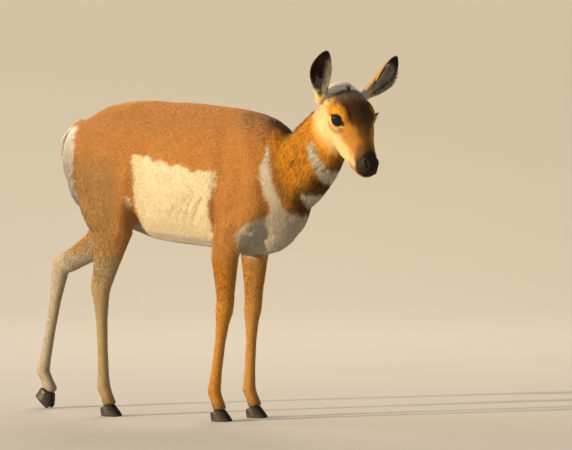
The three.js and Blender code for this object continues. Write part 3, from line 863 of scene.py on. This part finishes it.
def lie_of(points, names):
    """The way the hair lies: back along trunk and face, down the legs and up the ears."""
    lie = np.tile(np.array((-1.0, 0, -0.22)), (len(points), 1))
    x, y, z = points.T
    lie[:, 2] -= ramp(z, 640, 420) * 0.35
    neck = on(names, "neck")
    lie[neck] = -NECK_ALONG + NECK_THROAT * 0.55
    breast = ramp(x, 230, 300) * ramp(z, 560, 470)
    lie = lie * (1 - breast[:, None]) + breast[:, None] * np.array((-0.35, 0, -1.0))
    thigh = ramp(x, -70, -130) * ramp(z, 660, 560)
    lie = lie * (1 - thigh[:, None]) + thigh[:, None] * np.array((-0.5, 0, -0.9))
    rump = ramp(x, -205, -240) * ramp(z, 700, 650)
    lie = lie * (1 - rump[:, None]) + rump[:, None] * np.column_stack(
        (-0.2 + 0 * x, np.sign(y) * 0.35, -0.9 + 0 * x))
    for name in LIMBS:
        mask = on(names, name)
        lie[mask] = (-0.12, 0, -1)
    lie[on(names, "tail")] = (-0.15, 0, -1)
    head = on(names, "head")
    p = into_head(points[head])
    local = np.column_stack(
        (-np.ones(head.sum()), np.sign(p[:, 1]) * 0.28, -0.30 * ramp(p[:, 2], 10, -20)))
    lie[head] = local @ HEAD_TURN.T
    for word, side in SIDES:
        mask = on(names, "ear_" + word)
        lie[mask] = ear_axes(side)[1]
    return lie


def make_skin():
    """One closed skin over all the flesh, inside the solids by the depth of the coat."""
    points, triangles, owners = joined_flesh()
    nearest = Nearest(points, triangles, owners)
    swollen = points + normals_of(points, triangles) * 0.35
    parts, faces, count = [swollen], [triangles], len(swollen)
    for side in (-1, 1):
        socket, tris = ball(from_head(EYE_CENTRE * (1, side, 1)), EYE_RADIUS + 1.2)
        nostril = ball(np.zeros(3), 1.0)[0] * NOSTRIL_PLUG + NOSTRIL_PLACE * (1, side, 1)
        for co in (socket, from_head(nostril)):
            parts.append(co)
            faces.append(tris + count)
            count += len(co)
    made = quick_object("skin", np.vstack(parts), np.vstack(faces))
    co, tris = voxelled(made, SKIN_VOXEL)

    _, names = nearest.at(co)
    edges = edges_of(tris)
    weight = spread(per_point(names, SMOOTHING), edges, 12)
    co = spread(co, edges, 70, 0.5 * np.clip(weight, 0.03, 1))
    normals = normals_of(co, tris)
    distance, names = nearest.at(co)
    depth = spread(per_point(names, COAT, 0), edges, 10)
    push = np.clip(-depth - distance, -4, 6)
    push = np.where(push < 0, push * 0.6, push)
    co = co + normals * spread(push, edges, 14)[:, None]
    co = body_forms(co, normals_of(co, tris), edges)

    made = quick_object("skin", co, tris)
    thin = made.modifiers.new("Thin", "DECIMATE")
    thin.ratio = SKIN_KEPT
    made = linked("skin", applied(made))
    refine(made, fine_zone, 2)

    co, tris = mesh_arrays(made.data)
    edges = edges_of(tris)
    co = spread(co, edges, 4, 0.5 * fine_zone(co))
    _, names = nearest.at(co)
    co = face_forms(co, normals_of(co, tris))
    bpy.data.objects.remove(made)
    made = quick_object("skin", co, tris)
    Skin.points, Skin.triangles, Skin.names = co, tris, names
    Skin.normals = normals_of(co, tris)
    lie = unit(lie_of(co, names))
    lie = spread(lie, edges, 40)
    lie -= Skin.normals * np.sum(lie * Skin.normals, axis=1)[:, None]
    Skin.lie = unit(lie)
    # The skin takes the coat's colours darkened to 0.8: painted shade for the depth between the
    # tufts.
    set_colours(made.data, "hair", coat_colours(co, Skin.normals, names) * 0.8)
    finish_piece(made, "coat", hairy("Skin under the coat", 900, 0.35, 0.5), *FLESH)


# The coat

SHOULDER_START = 130.0  # where the shoulder's coat takes over from the barrel's
PATCH_HALF = 0.0015  # half the width of a tuft's patch on the map for baking


def unwrap(points, normals):
    """Places of tufts on a flat sheet: the skin's own shape, opened out by its six sides."""
    axis = np.argmax(np.abs(normals), axis=1)
    way = (normals[np.arange(len(normals)), axis] > 0).astype(int)
    chart = axis * 2 + way
    flat = np.empty((len(points), 2))
    sizes = []
    for number in range(6):
        mask = chart == number
        if not mask.any():
            sizes.append((0.0, 0.0))
            continue
        keep = [k for k in range(3) if k != number // 2]
        local = points[mask][:, keep]
        local = local - local.min(0)
        flat[mask] = local
        sizes.append(tuple(local.max(0)))
    gap = 8.0
    widths = [w for w, _ in sizes]
    columns, rows = 3, 2
    column_width = max(widths) + gap
    row_height = max(h for _, h in sizes) + gap
    for number in range(6):
        mask = chart == number
        corner = (number % columns) * column_width, (number // columns) * row_height
        flat[mask] += (corner[0] + gap / 2, corner[1] + gap / 2)
    scale = 1 / max(columns * column_width, rows * row_height)
    return flat * scale


def tuft_mesh(name, roots, normals, lie, length, width, lift, colours, rng, curl=0.15, bent=True):
    """Tufts as closed tapered blades: three points at the root, three at a bend, a tip."""
    count = len(roots)
    across = unit(np.cross(normals, lie))
    lie = unit(lie + across * rng.normal(0, curl, count)[:, None])
    across = unit(np.cross(normals, lie))
    length, width, lift = length[:, None], width[:, None], lift[:, None]
    bend = rng.normal(0, curl * 0.5, count)[:, None]
    start = roots - normals * 0.6
    tip = roots + lie * length + normals * lift + across * bend * length

    def ring(place, share):
        half = width * 0.5 * share
        return [place - across * half, place + across * half,
                place + normals * width * 0.45 * share]

    # shade scales each tuft's colour corner by corner: painted shade darkens it towards the root,
    # and the tip is a little lighter.
    if bent:
        middle = roots + lie * length * 0.5 + normals * lift * 0.75 + across * bend * length * 0.3
        corners = ring(start, 1.0) + ring(middle, 0.84) + [tip]
        pattern = ((0, 2, 1), (0, 1, 4), (0, 4, 3), (1, 2, 5), (1, 5, 4), (2, 0, 3), (2, 3, 5),
                   (3, 4, 6), (4, 5, 6), (5, 3, 6))
        shade = np.array((0.66, 0.66, 0.7, 0.95, 0.95, 1.0, 1.1))
    else:
        corners = ring(start, 1.0) + [tip]
        pattern = ((0, 2, 1), (0, 1, 3), (1, 2, 3), (2, 0, 3))
        shade = np.array((0.82, 0.82, 0.94, 1.06))
    size = len(corners)
    points = np.stack(corners, axis=1).reshape(-1, 3)
    triangles = (np.arange(count)[:, None, None] * size + np.array(pattern)).reshape(-1, 3)
    made = quick_object(name, points, triangles)
    set_colours(made.data, "hair", (colours[:, None, :] * shade[None, :, None]).reshape(-1, 3))
    place = unwrap(roots, normals)
    patch = np.array(((-1, -1), (1, -1), (0, -0.6), (-0.8, 0), (0.8, 0), (0, 0.3), (0, 1)))
    patch = (patch if bent else patch[[0, 1, 2, 6]]) * PATCH_HALF
    uv = (place[:, None, :] + patch[None]).reshape(-1, 2)
    layer = made.data.uv_layers.new(name="OFBake")
    layer.data.foreach_set("uv", uv[triangles.ravel()].astype(np.float32).ravel())
    return made


def scatter(mask, density, rng):
    """Random places on the skin's triangles, so many for each square centimetre."""
    tris = Skin.triangles[mask]
    a, b, c = (Skin.points[tris[:, i]] for i in range(3))
    area = np.linalg.norm(np.cross(b - a, c - a), axis=1) / 200
    weight = area * density[mask]
    total = int(round(weight.sum()))
    pick = rng.choice(len(tris), total, p=weight / weight.sum())
    u, v = rng.random((2, total))
    flip = u + v > 1
    u[flip], v[flip] = 1 - u[flip], 1 - v[flip]
    bary = np.column_stack((1 - u - v, u, v))
    corners = tris[pick]

    def blend(values):
        return np.einsum("ij,ijk->ik", bary, values[corners])

    return (blend(Skin.points), unit(blend(Skin.normals)), unit(blend(Skin.lie)),
            Skin.names[corners[:, 0]])


def bare_spots(points):
    """0 where no hair grows: the eyes' openings, the nostrils and the tip of the nose."""
    p = into_head(points)
    keep = np.ones(len(p))
    near = np.linalg.norm(p - (120, 0, 0), axis=1) < 150
    for side in (-1, 1):
        u, v, w = lid_place(p, side)
        keep[near & (w > 0) & (np.hypot(u, v) < 24) & (slit_gap(u, v) < 1.8)] = 0
    nose = near & (p[:, 0] > 222) & (p[:, 2] > -14)
    keep[nose] = 0
    nostril = line_gap(folded(p), (226, 11, 8), (213, 18, 16))
    keep[near & (nostril < 4.5)] = 0
    mouth = near & (p[:, 0] > 178) & (np.abs(p[:, 2] - mouth_height(p[:, 0])) < 2.2)
    keep[mouth] = 0
    return keep


def lay_coat():
    """The short coat, in pieces by part of the body."""
    rng = np.random.default_rng(COAT_SEED)
    names = Skin.names[Skin.triangles[:, 0]]
    middle = Skin.points[Skin.triangles].mean(1)
    density = per_point(names, COAT, 3) * settings("coat").density
    density = density * bare_spots(middle)
    groups = {}
    for side, right in (("right", middle[:, 1] < 0), ("left", middle[:, 1] >= 0)):
        torso, rear = on(names, "torso"), on(names, "hindquarters")
        front = middle[:, 0] > SHOULDER_START
        groups["coat_barrel_" + side] = torso & right & ~front
        groups["coat_shoulder_" + side] = torso & right & front
        groups["coat_haunch_" + side] = rear & right
        limbs = np.isin(names, [FLESH.index(n) for n in LIMBS if n.endswith(side)])
        groups["coat_foreleg_" + side] = limbs & (middle[:, 0] > 0)
        groups["coat_hind_leg_" + side] = limbs & (middle[:, 0] <= 0)
        groups["coat_ear_" + side] = on(names, "ear_" + side)
        head = on(names, "head") & (into_head(middle)[:, 1] * (-1 if side == "right" else 1) >= 0)
        groups["coat_head_" + side] = head
    groups["coat_neck"] = on(names, "neck")
    groups["coat_tail"] = on(names, "tail")
    material = hairy("Coat", 1500, 0.2, 0.2)
    for name, mask in groups.items():
        roots, normals, lie, owner = scatter(mask, density, rng)
        count = len(roots)
        depth = per_point(owner, COAT, 0)
        length = per_point(owner, COAT, 1) * rng.uniform(0.7, 1.2, count)
        width = per_point(owner, COAT, 2) * rng.uniform(0.75, 1.25, count)
        lift = depth * rng.uniform(0.55, 0.95, count)
        length, width, lift = local_lengths(roots, owner, length, width, lift)
        colour = coat_colours(roots, normals, owner)
        colour = streaked(colour, roots, lie, owner, rng)
        piece = tuft_mesh(name, roots, normals, lie, length, width, lift, colour, rng, 0.12,
                          bent=name == "coat_tail")
        finish_piece(piece, "coat", material)


def local_lengths(roots, owner, length, width, lift):
    """Longer hair on rump, breast and the back of the head, and the shortest on the muzzle and
    round the eyes.
    """
    x, _, z = roots.T
    rump = ramp(x, -212, -226) * ramp(z, 470, 500)
    grow = 1 + 0.75 * rump + 0.3 * ramp(x, 250, 300) * ramp(z, 520, 460)
    p = into_head(roots)
    head = on(owner, "head")
    face = head * ramp(p[:, 0], 60, 180)
    eyes = head * ramp(np.linalg.norm(folded(p) - EYE_CENTRE, axis=1), 32, 22)
    shrink = (1 - 0.5 * face) * (1 - 0.45 * eyes)
    back_of_head = head * ramp(p[:, 0], 60, 10)
    grow = grow * (1 + 0.8 * back_of_head)
    width = width * shrink * (1 + 0.2 * rump)
    return length * grow * shrink, width, lift * (1 + 0.5 * rump) * shrink


def streaked(colour, roots, lie, owner, rng):
    """Light and dark strokes along the lie of the hair, strongest on the neck."""
    along = roots - lie * np.sum((roots - (200, 0, 500)) * lie, axis=1)[:, None] * 0.72
    pattern = wobble(along, 9, 11) + 0.7 * wobble(along, 4.5, 12)
    strength = np.where(on(owner, "neck"), 0.32, 0.08)
    strength = np.where(on(owner, "head"), 0.16, strength)
    each = rng.normal(0, 0.11, len(roots))
    return np.clip(colour * (1 + pattern * strength + each)[:, None], 0.004, 0.95)


# Eyes

EYE_AROUND, EYE_RINGS = 48, 32
CLAW_VOXEL = 0.0012


def eye_points(u, v, out):
    """A smooth eyeball with its pole on the gaze and a slight swell of the cornea."""
    points = []
    for i in range(EYE_RINGS + 1):
        polar = math.pi * i / EYE_RINGS
        for j in range(EYE_AROUND):
            turn = 2 * math.pi * j / EYE_AROUND
            swell = EYE_RADIUS + 0.9 * math.exp(-(polar / 0.62) ** 4)
            points.append(swell * (math.cos(polar) * out + math.sin(polar) * (
                math.cos(turn) * u + math.sin(turn) * v)))
    return np.array(points)


def make_eyes():
    """Eyeballs, dark brown with a long pupil, and the wet black rims of the lids."""
    material = painted("Eye", 0.04, coat=0.75)
    rim_material = painted("Lid rim", 0.28, bump_scale=700, bump_strength=0.3)
    for word, side in SIDES:
        u, v, out = lid_axes(side)
        faces = []
        for i in range(EYE_RINGS):
            for j in range(EYE_AROUND):
                a, b = i * EYE_AROUND + j, i * EYE_AROUND + (j + 1) % EYE_AROUND
                face = (a, a + EYE_AROUND, b + EYE_AROUND, b)
                faces.append(face if side > 0 else (face[0], *face[:0:-1]))
        centre = EYE_CENTRE * (1, side, 1)
        ball_object = new_object(
            f"eyeball_{word}", from_head(eye_points(u, v, out) + centre), faces)
        merge_points(ball_object, 0.00002)
        co = into_head(mesh_arrays(ball_object.data)[0]) - centre
        a, b, w = co @ u, co @ v, co @ out
        pupil = np.hypot(a / 8.2, b / 4.6)
        iris = np.hypot(a, b) / 12.5
        colour = np.tile((0.05, 0.03, 0.02), (len(co), 1))
        colour = over(colour, np.array((0.014, 0.006, 0.003)), ramp(iris, 1.12, 1.0) * (w > 0))
        colour = over(colour, np.array((0.004, 0.004, 0.005)), ramp(pupil, 1.15, 0.9) * (w > 0))
        set_colours(ball_object.data, "eye", colour)
        finish_piece(ball_object, "eye", material, f"eye_{word}")
        rim = lid_rim(side, word)
        finish_piece(rim, "eye", rim_material)


def merge_points(made, distance):
    grid = bmesh.new()
    grid.from_mesh(made.data)
    bmesh.ops.remove_doubles(grid, verts=grid.verts, dist=distance)
    bmesh.ops.recalc_face_normals(grid, faces=grid.faces)
    grid.to_mesh(made.data)
    grid.free()


def slit_line(side, steps):
    """Places round the eye's opening, on the ball, from the inner corner over the upper lid."""
    u, v, out = lid_axes(side)
    line = []
    for i in range(steps):
        angle = 2 * math.pi * i / steps
        a = LID_LONG / 2 * math.cos(angle)
        above, below = slit(np.array(a))
        b = float(above) if math.sin(angle) >= 0 else -float(below)
        reach = EYE_RADIUS + 1.0
        w = math.sqrt(max(reach ** 2 - a * a - b * b, 4.0))
        line.append(a * u + b * v + w * out)
    return np.array(line) + EYE_CENTRE * (1, side, 1)


def lid_rim(side, word):
    """The wet edge of the lids, a thin tube round the opening."""
    steps, around = 56, 8
    line = slit_line(side, steps)
    centre = EYE_CENTRE * (1, side, 1)
    points = []
    for i in range(steps):
        ahead = unit(line[(i + 1) % steps] - line[i - 1])
        out = unit(line[i] - centre)
        across = np.cross(ahead, out)
        for j in range(around):
            angle = 2 * math.pi * j / around
            points.append(line[i] + 1.15 * math.cos(angle) * across + 0.95 * math.sin(angle) * out)
    faces = [(i * around + j, i * around + (j + 1) % around,
              ((i + 1) % steps) * around + (j + 1) % around, ((i + 1) % steps) * around + j)
             for i in range(steps) for j in range(around)]
    made = new_object(f"lid_rim_{word}", from_head(np.array(points)), faces)
    merge_points(made, 0.00001)
    set_colours(made.data, "eye", np.tile(DARK * 0.6, (len(made.data.vertices), 1)))
    return made


# Hooves

def make_hooves():
    """Each claw rounded from its solid, with faint growth rings in the horn."""
    material = painted("Horn", 0.42, 0.15, 260, 0.25, "hair")
    for name in CLAWS:
        co, tris = mesh_arrays(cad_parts[name].data)
        co, tris = voxelled(quick_object(name + "_raw", *welded(co, tris)), CLAW_VOXEL)
        sole = co[:, 2] < 0.9
        co = spread(co, edges_of(tris), 9)
        normals = normals_of(co, tris)
        up = co[:, 2]
        rings = np.sin(up * 1.9 + 0.5 * wobble(co, 18, 13)) * 0.16 * ~sole
        co = co + normals * rings[:, None]
        co[:, 2] = np.maximum(co[:, 2], 0)
        made = quick_object("claw_" + name[5:-5], co, tris)
        tone = 1 + 0.25 * wobble(co * (1, 1, 3), 9, 14)
        colour = np.array((0.030, 0.022, 0.018)) * tone[:, None]
        colour = over(colour, np.array((0.075, 0.058, 0.045)), ramp(up, 9, 0) * 0.6)
        set_colours(made.data, "hair", np.clip(colour, 0.003, 1))
        finish_piece(made, "hoof", material, name)


# Long hair and lashes

def long_hair():
    """Mane, crown tuft and the hair in the ears."""
    rng = np.random.default_rng(LONG_HAIR_SEED)
    material = hairy("Long hair", 1500, 0.2, 0.2)
    names = Skin.names
    co, normals = Skin.points, Skin.normals
    head = into_head(co)
    crest_line = np.interp(co[:, 0], (262, 396, 470), (0, -9, -32))
    crest = (np.abs(co[:, 1] - crest_line) < 9) & (normals[:, 2] > 0.2)
    crest &= on(names, "neck") & (co[:, 0] > 250)
    p, n, l = picked(crest & (co[:, 0] > 335), 560, rng)
    length, width, lift = (rng.uniform(*limits, len(p)) for limits in ((8, 13), (0.8, 1.2), (2, 5)))
    colour = over(np.tile(BROWN * 1.3, (len(p), 1)), ORANGE * 0.8, rng.random(len(p)) * 0.8)
    mane = tuft_mesh("mane", p, n, unit(l + n * 0.35), length, width, lift, colour, rng, 0.3)
    finish_piece(mane, "coat", material)
    top = on(names, "head") & (np.linalg.norm(head - (31, -2, 38), axis=1) < 6)
    p, n, l = picked(top, 26, rng)
    length, width, lift = (rng.uniform(*limits, len(p)) for limits in ((8, 14), (0.5, 0.8), (1, 3)))
    colour = np.tile(DARK * 1.5, (len(p), 1))
    tuft = tuft_mesh("crown_tuft", p, n, unit(l + n * 0.8), length, width, lift, colour, rng, 0.35)
    finish_piece(tuft, "coat", material)
    for word, side in SIDES:
        root, along, across, facing = ear_axes(side)
        mask = on(names, "ear_" + word) & (normals @ facing > 0.1)
        share = (co - root) @ along / EAR_LENGTH
        wide = (co - root) @ across
        edge = 4 if side < 0 else 10
        p, n, l = picked(mask & (share < 0.74) & (wide < edge + 12 * (share < 0.3)), 620, rng)
        s = (p - root) @ along / EAR_LENGTH
        wide = (p - root) @ across
        length = rng.uniform(7, 13, len(p)) * (1.1 - 0.5 * s)
        pale = over(np.tile(GREY_WHITE * 0.95, (len(p), 1)), GREY * 1.4, ramp(s, 0.3, 0.7) * 0.5)
        way = unit(along - across * np.sign(wide)[:, None] * 0.3 + n * 0.2)
        width, lift = rng.uniform(0.7, 1.1, len(p)), rng.uniform(1, 2.5, len(p))
        colour = pale * rng.uniform(0.7, 1.15, len(p))[:, None]
        hair = tuft_mesh("ear_hair_" + word, p, n, way, length, width, lift, colour, rng, 0.25)
        finish_piece(hair, "coat", material)


def picked(mask, count, rng):
    """Random points of the skin among those in a mask, with their normals and lie."""
    index = np.flatnonzero(mask)
    index = rng.choice(index, count)
    jitter = rng.normal(0, 0.8, (count, 3))
    return Skin.points[index] + jitter * 0.5, Skin.normals[index], Skin.lie[index]


LASH_LENGTH, LASH_THICKNESS = 0.012, 0.0003


def lash_tree():
    """Geometry nodes: a tapered lash at each point of a line, along the point's own vector."""
    tree = bpy.data.node_groups.new("Lashes", "GeometryNodeTree")
    face = tree.interface
    face.new_socket("Geometry", in_out="INPUT", socket_type="NodeSocketGeometry")
    for name, value in (("Length", LASH_LENGTH), ("Thickness", LASH_THICKNESS)):
        face.new_socket(name, in_out="INPUT", socket_type="NodeSocketFloat").default_value = value
    face.new_socket("Seed", in_out="INPUT", socket_type="NodeSocketInt").default_value = LASH_SEED
    face.new_socket("Material", in_out="INPUT", socket_type="NodeSocketMaterial")
    face.new_socket("Geometry", in_out="OUTPUT", socket_type="NodeSocketGeometry")
    nodes, links = tree.nodes, tree.links
    start, end = nodes.new("NodeGroupInput"), nodes.new("NodeGroupOutput")
    cone = nodes.new("GeometryNodeMeshCone")
    cone.inputs["Vertices"].default_value = 5
    cone.inputs["Side Segments"].default_value = 4
    links.new(start.outputs["Thickness"], cone.inputs["Radius Bottom"])
    links.new(start.outputs["Length"], cone.inputs["Depth"])
    place = nodes.new("GeometryNodeInstanceOnPoints")
    way = nodes.new("GeometryNodeInputNamedAttribute")
    way.data_type = "FLOAT_VECTOR"
    way.inputs["Name"].default_value = "way"
    turn = nodes.new("FunctionNodeAlignRotationToVector")
    turn.axis = "Z"
    size_each = nodes.new("FunctionNodeRandomValue")
    size_each.inputs[2].default_value = 0.65
    size_each.inputs[3].default_value = 1.15
    links.new(start.outputs["Seed"], size_each.inputs["Seed"])
    real = nodes.new("GeometryNodeRealizeInstances")
    paint = nodes.new("GeometryNodeSetMaterial")
    links.new(start.outputs["Geometry"], place.inputs["Points"])
    links.new(cone.outputs["Mesh"], place.inputs["Instance"])
    links.new(way.outputs["Attribute"], turn.inputs["Vector"])
    links.new(turn.outputs["Rotation"], place.inputs["Rotation"])
    links.new(size_each.outputs[1], place.inputs["Scale"])
    links.new(place.outputs["Instances"], real.inputs["Geometry"])
    links.new(real.outputs["Geometry"], paint.inputs["Geometry"])
    links.new(start.outputs["Material"], paint.inputs["Material"])
    links.new(paint.outputs["Geometry"], end.inputs["Geometry"])
    return tree


def lashes():
    """Upper lashes of random length, angled outward."""
    tree = lash_tree()
    material, _ = plain("Lash", DARK, 0.45, 0.3)
    for word, side in SIDES:
        line = slit_line(side, 160)[6:78]
        u, v, out = lid_axes(side)
        places, ways = [], []
        for i, p in enumerate(line):
            share = i / len(line)
            way = out * 0.85 + v * 0.62 - u * (share - 0.35) * 1.1
            places.append(p + out * 0.4)
            ways.append(unit(way) @ HEAD_TURN.T)
        made = new_object(f"lashes_{word}", from_head(np.array(places)), np.zeros((0, 3), int))
        attribute = made.data.attributes.new("way", "FLOAT_VECTOR", "POINT")
        attribute.data.foreach_set("vector", np.array(ways, np.float32).ravel())
        grow = made.modifiers.new("Lashes", "NODES")
        grow.node_group = tree
        sockets = {s.name: s.identifier for s in tree.interface.items_tree if s.in_out == "INPUT"}
        grow[sockets["Length"]] = LASH_LENGTH
        grow[sockets["Thickness"]] = LASH_THICKNESS
        grow[sockets["Seed"]] = LASH_SEED + side
        grow[sockets["Material"]] = material
        shape = applied(made)
        each = len(shape.vertices) // len(places)
        corner = np.empty(len(shape.loops), np.int32)
        shape.loops.foreach_get("vertex_index", corner)
        turn = corner % each * 2.4
        place = unwrap(from_head(np.array(places)), np.array(ways))[corner // each]
        uv = place + PATCH_HALF * np.column_stack((np.cos(turn), np.sin(turn)))
        shape.uv_layers.new(name="OFBake").data.foreach_set("uv", uv.astype(np.float32).ravel())
        finish_piece(linked(f"lashes_{word}", shape), "coat", material)


# The stage

CAMERA_AZIMUTH = math.radians(28)
CAMERA_ELEVATION = math.radians(3)
CAMERA_DISTANCE = 13.0
CAMERA_LENS = 354.3
AIM = np.array((0.0, 0.0, 350.0))
AIM_RIGHT, AIM_UP = 267.9, 92.4

# The backdrop, in metres: a floor that bends up into a wall, clear when seen from behind
FLOOR_HALF, WALL_START, WALL_BEND, WALL_TOP = 20.0, 3.5, 3.0, 12.0
FLOOR_SINK = 0.0004


def make_stage():
    """Camera at the photograph's angle, a pale floor with a soft backdrop, and soft warm light."""
    a, e = CAMERA_AZIMUTH, CAMERA_ELEVATION
    back = np.array((math.sin(a) * math.cos(e), -math.cos(a) * math.cos(e), math.sin(e)))
    right = np.array((math.cos(a), math.sin(a), 0))
    up = np.cross(back, right)
    target = (AIM + SHIFT + right * AIM_RIGHT + up * AIM_UP) / 1000
    camera_data = bpy.data.cameras.new("camera")
    camera_data.lens, camera_data.sensor_width = CAMERA_LENS, 36
    camera_data.clip_end = 100
    camera = linked("camera", camera_data)
    camera.location = Vector(target + back * CAMERA_DISTANCE)
    camera.rotation_mode = "QUATERNION"
    camera.rotation_quaternion = Vector(-back).to_track_quat("-Z", "Y")
    bpy.context.scene.camera = camera

    material, shader = plain("Pale floor", (0.58, 0.56, 0.53), 0.95)
    tree = material.node_tree
    behind = tree.nodes.new("ShaderNodeNewGeometry")
    clear = tree.nodes.new("ShaderNodeBsdfTransparent")
    mix = tree.nodes.new("ShaderNodeMixShader")
    tree.links.new(behind.outputs["Backfacing"], mix.inputs[0])
    tree.links.new(shader.outputs[0], mix.inputs[1])
    tree.links.new(clear.outputs[0], mix.inputs[2])
    tree.links.new(mix.outputs[0], tree.nodes["Material Output"].inputs["Surface"])
    away, wide = np.array((-math.sin(a), math.cos(a))), np.array((math.cos(a), math.sin(a)))
    profile = [(-FLOOR_HALF, 0.0), (WALL_START, 0.0)]
    profile += [(WALL_START + WALL_BEND * math.sin(t), WALL_BEND - WALL_BEND * math.cos(t))
                for t in np.linspace(0.08, math.pi / 2, 14)]
    profile += [(WALL_START + WALL_BEND, WALL_TOP)]
    points = []
    for reach, height in profile:
        for half in (-FLOOR_HALF, FLOOR_HALF):
            points.append((*(away * reach + wide * half), height - FLOOR_SINK))
    faces = [(2 * i, 2 * i + 1, 2 * i + 3, 2 * i + 2) for i in range(len(profile) - 1)]
    mesh = bpy.data.meshes.new("backdrop")
    mesh.from_pydata([tuple(map(float, p)) for p in points], [], faces)
    mesh.shade_smooth()
    mesh.materials.append(material)
    backdrop = linked("backdrop", mesh)

    stage = settings("stage")
    lamps = (
        ("key", "SUN", (-6.2, -7.3, 3.0), 0.05, stage.key_power, (1.0, 0.79, 0.48)),
        ("fill", "AREA", (-4.5, -0.5, 2.6), 2.5, stage.fill_power, (0.72, 0.84, 1.0)),
        ("back", "AREA", (-1.0, 3.0, 3.2), 2.0, stage.back_power, (1.0, 0.86, 0.70)),
    )
    for name, kind, place, size, power, colour in lamps:
        data = bpy.data.lights.new(name, kind)
        data.energy, data.color = power, colour
        if kind == "SUN":
            data.angle = size
        else:
            data.size = size
        lamp = linked(name, data)
        lamp.location = place
        lamp.rotation_mode = "QUATERNION"
        lamp.rotation_quaternion = (Vector((0, 0, 0.45)) - Vector(place)).to_track_quat("-Z", "Y")
    world = bpy.data.worlds.new("world")
    world.use_nodes = True
    sky = world.node_tree.nodes["Background"]
    sky.inputs["Color"].default_value = (0.88, 0.83, 0.77, 1)
    sky.inputs["Strength"].default_value = stage.sky
    bpy.context.scene.world = world
    bpy.context.scene.view_settings.view_transform = "Standard"
    bpy.context.scene.view_settings.look = "None"


# The add-on

class PRONGHORN_PG_coat(bpy.types.PropertyGroup):
    """Sizes of the coat that a user would change."""
    density: bpy.props.FloatProperty(
        name="Density", description="Share of the full number of tufts", default=1.0,
        min=0.1, max=1.2, subtype="FACTOR")


class PRONGHORN_PG_stage(bpy.types.PropertyGroup):
    """Light on the stage."""
    key_power: bpy.props.FloatProperty(
        name="Key", description="Strength of the low warm sun", default=5.0, min=0.0)
    fill_power: bpy.props.FloatProperty(
        name="Fill", description="Power of the cool light on the rump", default=60.0,
        min=0.0, unit="POWER")
    back_power: bpy.props.FloatProperty(
        name="Back", description="Power of the light behind", default=60.0, min=0.0, unit="POWER")
    sky: bpy.props.FloatProperty(
        name="Sky", description="Strength of the even light all round", default=0.36, min=0.0)


def settings(name):
    return getattr(bpy.context.scene, "pronghorn_" + name)


class PRONGHORN_OT_stage(bpy.types.Operator):
    """Camera, floor and lights"""
    bl_idname = "pronghorn.stage"
    bl_label = "Set the stage"

    def execute(self, context):
        make_stage()
        return {"FINISHED"}


class PRONGHORN_OT_skin(bpy.types.Operator):
    """One skin over all the flesh, with the forms of the face"""
    bl_idname = "pronghorn.skin"
    bl_label = "Make the skin"

    def execute(self, context):
        make_skin()
        return {"FINISHED"}


class PRONGHORN_OT_eyes(bpy.types.Operator):
    """Eyeballs and the rims of the lids"""
    bl_idname = "pronghorn.eyes"
    bl_label = "Make the eyes"

    def execute(self, context):
        make_eyes()
        return {"FINISHED"}


class PRONGHORN_OT_hooves(bpy.types.Operator):
    """The eight claws"""
    bl_idname = "pronghorn.hooves"
    bl_label = "Make the hooves"

    def execute(self, context):
        make_hooves()
        return {"FINISHED"}


class PRONGHORN_OT_coat(bpy.types.Operator):
    """The short coat, tuft by tuft"""
    bl_idname = "pronghorn.coat"
    bl_label = "Lay the coat"

    def execute(self, context):
        lay_coat()
        return {"FINISHED"}


class PRONGHORN_OT_long_hair(bpy.types.Operator):
    """Mane, crown tuft and the hair in the ears"""
    bl_idname = "pronghorn.long_hair"
    bl_label = "Add the long hair"

    def execute(self, context):
        long_hair()
        return {"FINISHED"}


class PRONGHORN_OT_lashes(bpy.types.Operator):
    """The upper lashes"""
    bl_idname = "pronghorn.lashes"
    bl_label = "Add the lashes"

    def execute(self, context):
        lashes()
        return {"FINISHED"}


OPERATORS = (
    PRONGHORN_OT_stage,
    PRONGHORN_OT_skin,
    PRONGHORN_OT_eyes,
    PRONGHORN_OT_hooves,
    PRONGHORN_OT_coat,
    PRONGHORN_OT_long_hair,
    PRONGHORN_OT_lashes,
)


class PRONGHORN_PT_main(bpy.types.Panel):
    """Lists what the animal is made of"""
    bl_label = "Pronghorn"
    bl_idname = "PRONGHORN_PT_main"
    bl_space_type = "VIEW_3D"
    bl_region_type = "UI"
    bl_category = "Pronghorn"

    def draw(self, context):
        for name in ("coat", "stage"):
            group = getattr(context.scene, "pronghorn_" + name)
            for key in group.__annotations__:
                self.layout.prop(group, key)
        for operator in OPERATORS:
            self.layout.operator(operator.bl_idname)


CLASSES = (PRONGHORN_PG_coat, PRONGHORN_PG_stage, *OPERATORS, PRONGHORN_PT_main)


def register():
    for cls in CLASSES:
        bpy.utils.register_class(cls)
    bpy.types.Scene.pronghorn_coat = bpy.props.PointerProperty(type=PRONGHORN_PG_coat)
    bpy.types.Scene.pronghorn_stage = bpy.props.PointerProperty(type=PRONGHORN_PG_stage)


def unregister():
    del bpy.types.Scene.pronghorn_stage
    del bpy.types.Scene.pronghorn_coat
    for cls in reversed(CLASSES):
        bpy.utils.unregister_class(cls)


def main():
    register()
    bpy.ops.pronghorn.stage()
    bpy.ops.pronghorn.skin()
    bpy.ops.pronghorn.eyes()
    bpy.ops.pronghorn.hooves()
    bpy.ops.pronghorn.coat()
    bpy.ops.pronghorn.long_hair()
    bpy.ops.pronghorn.lashes()


if __name__ == "__main__":
    main()
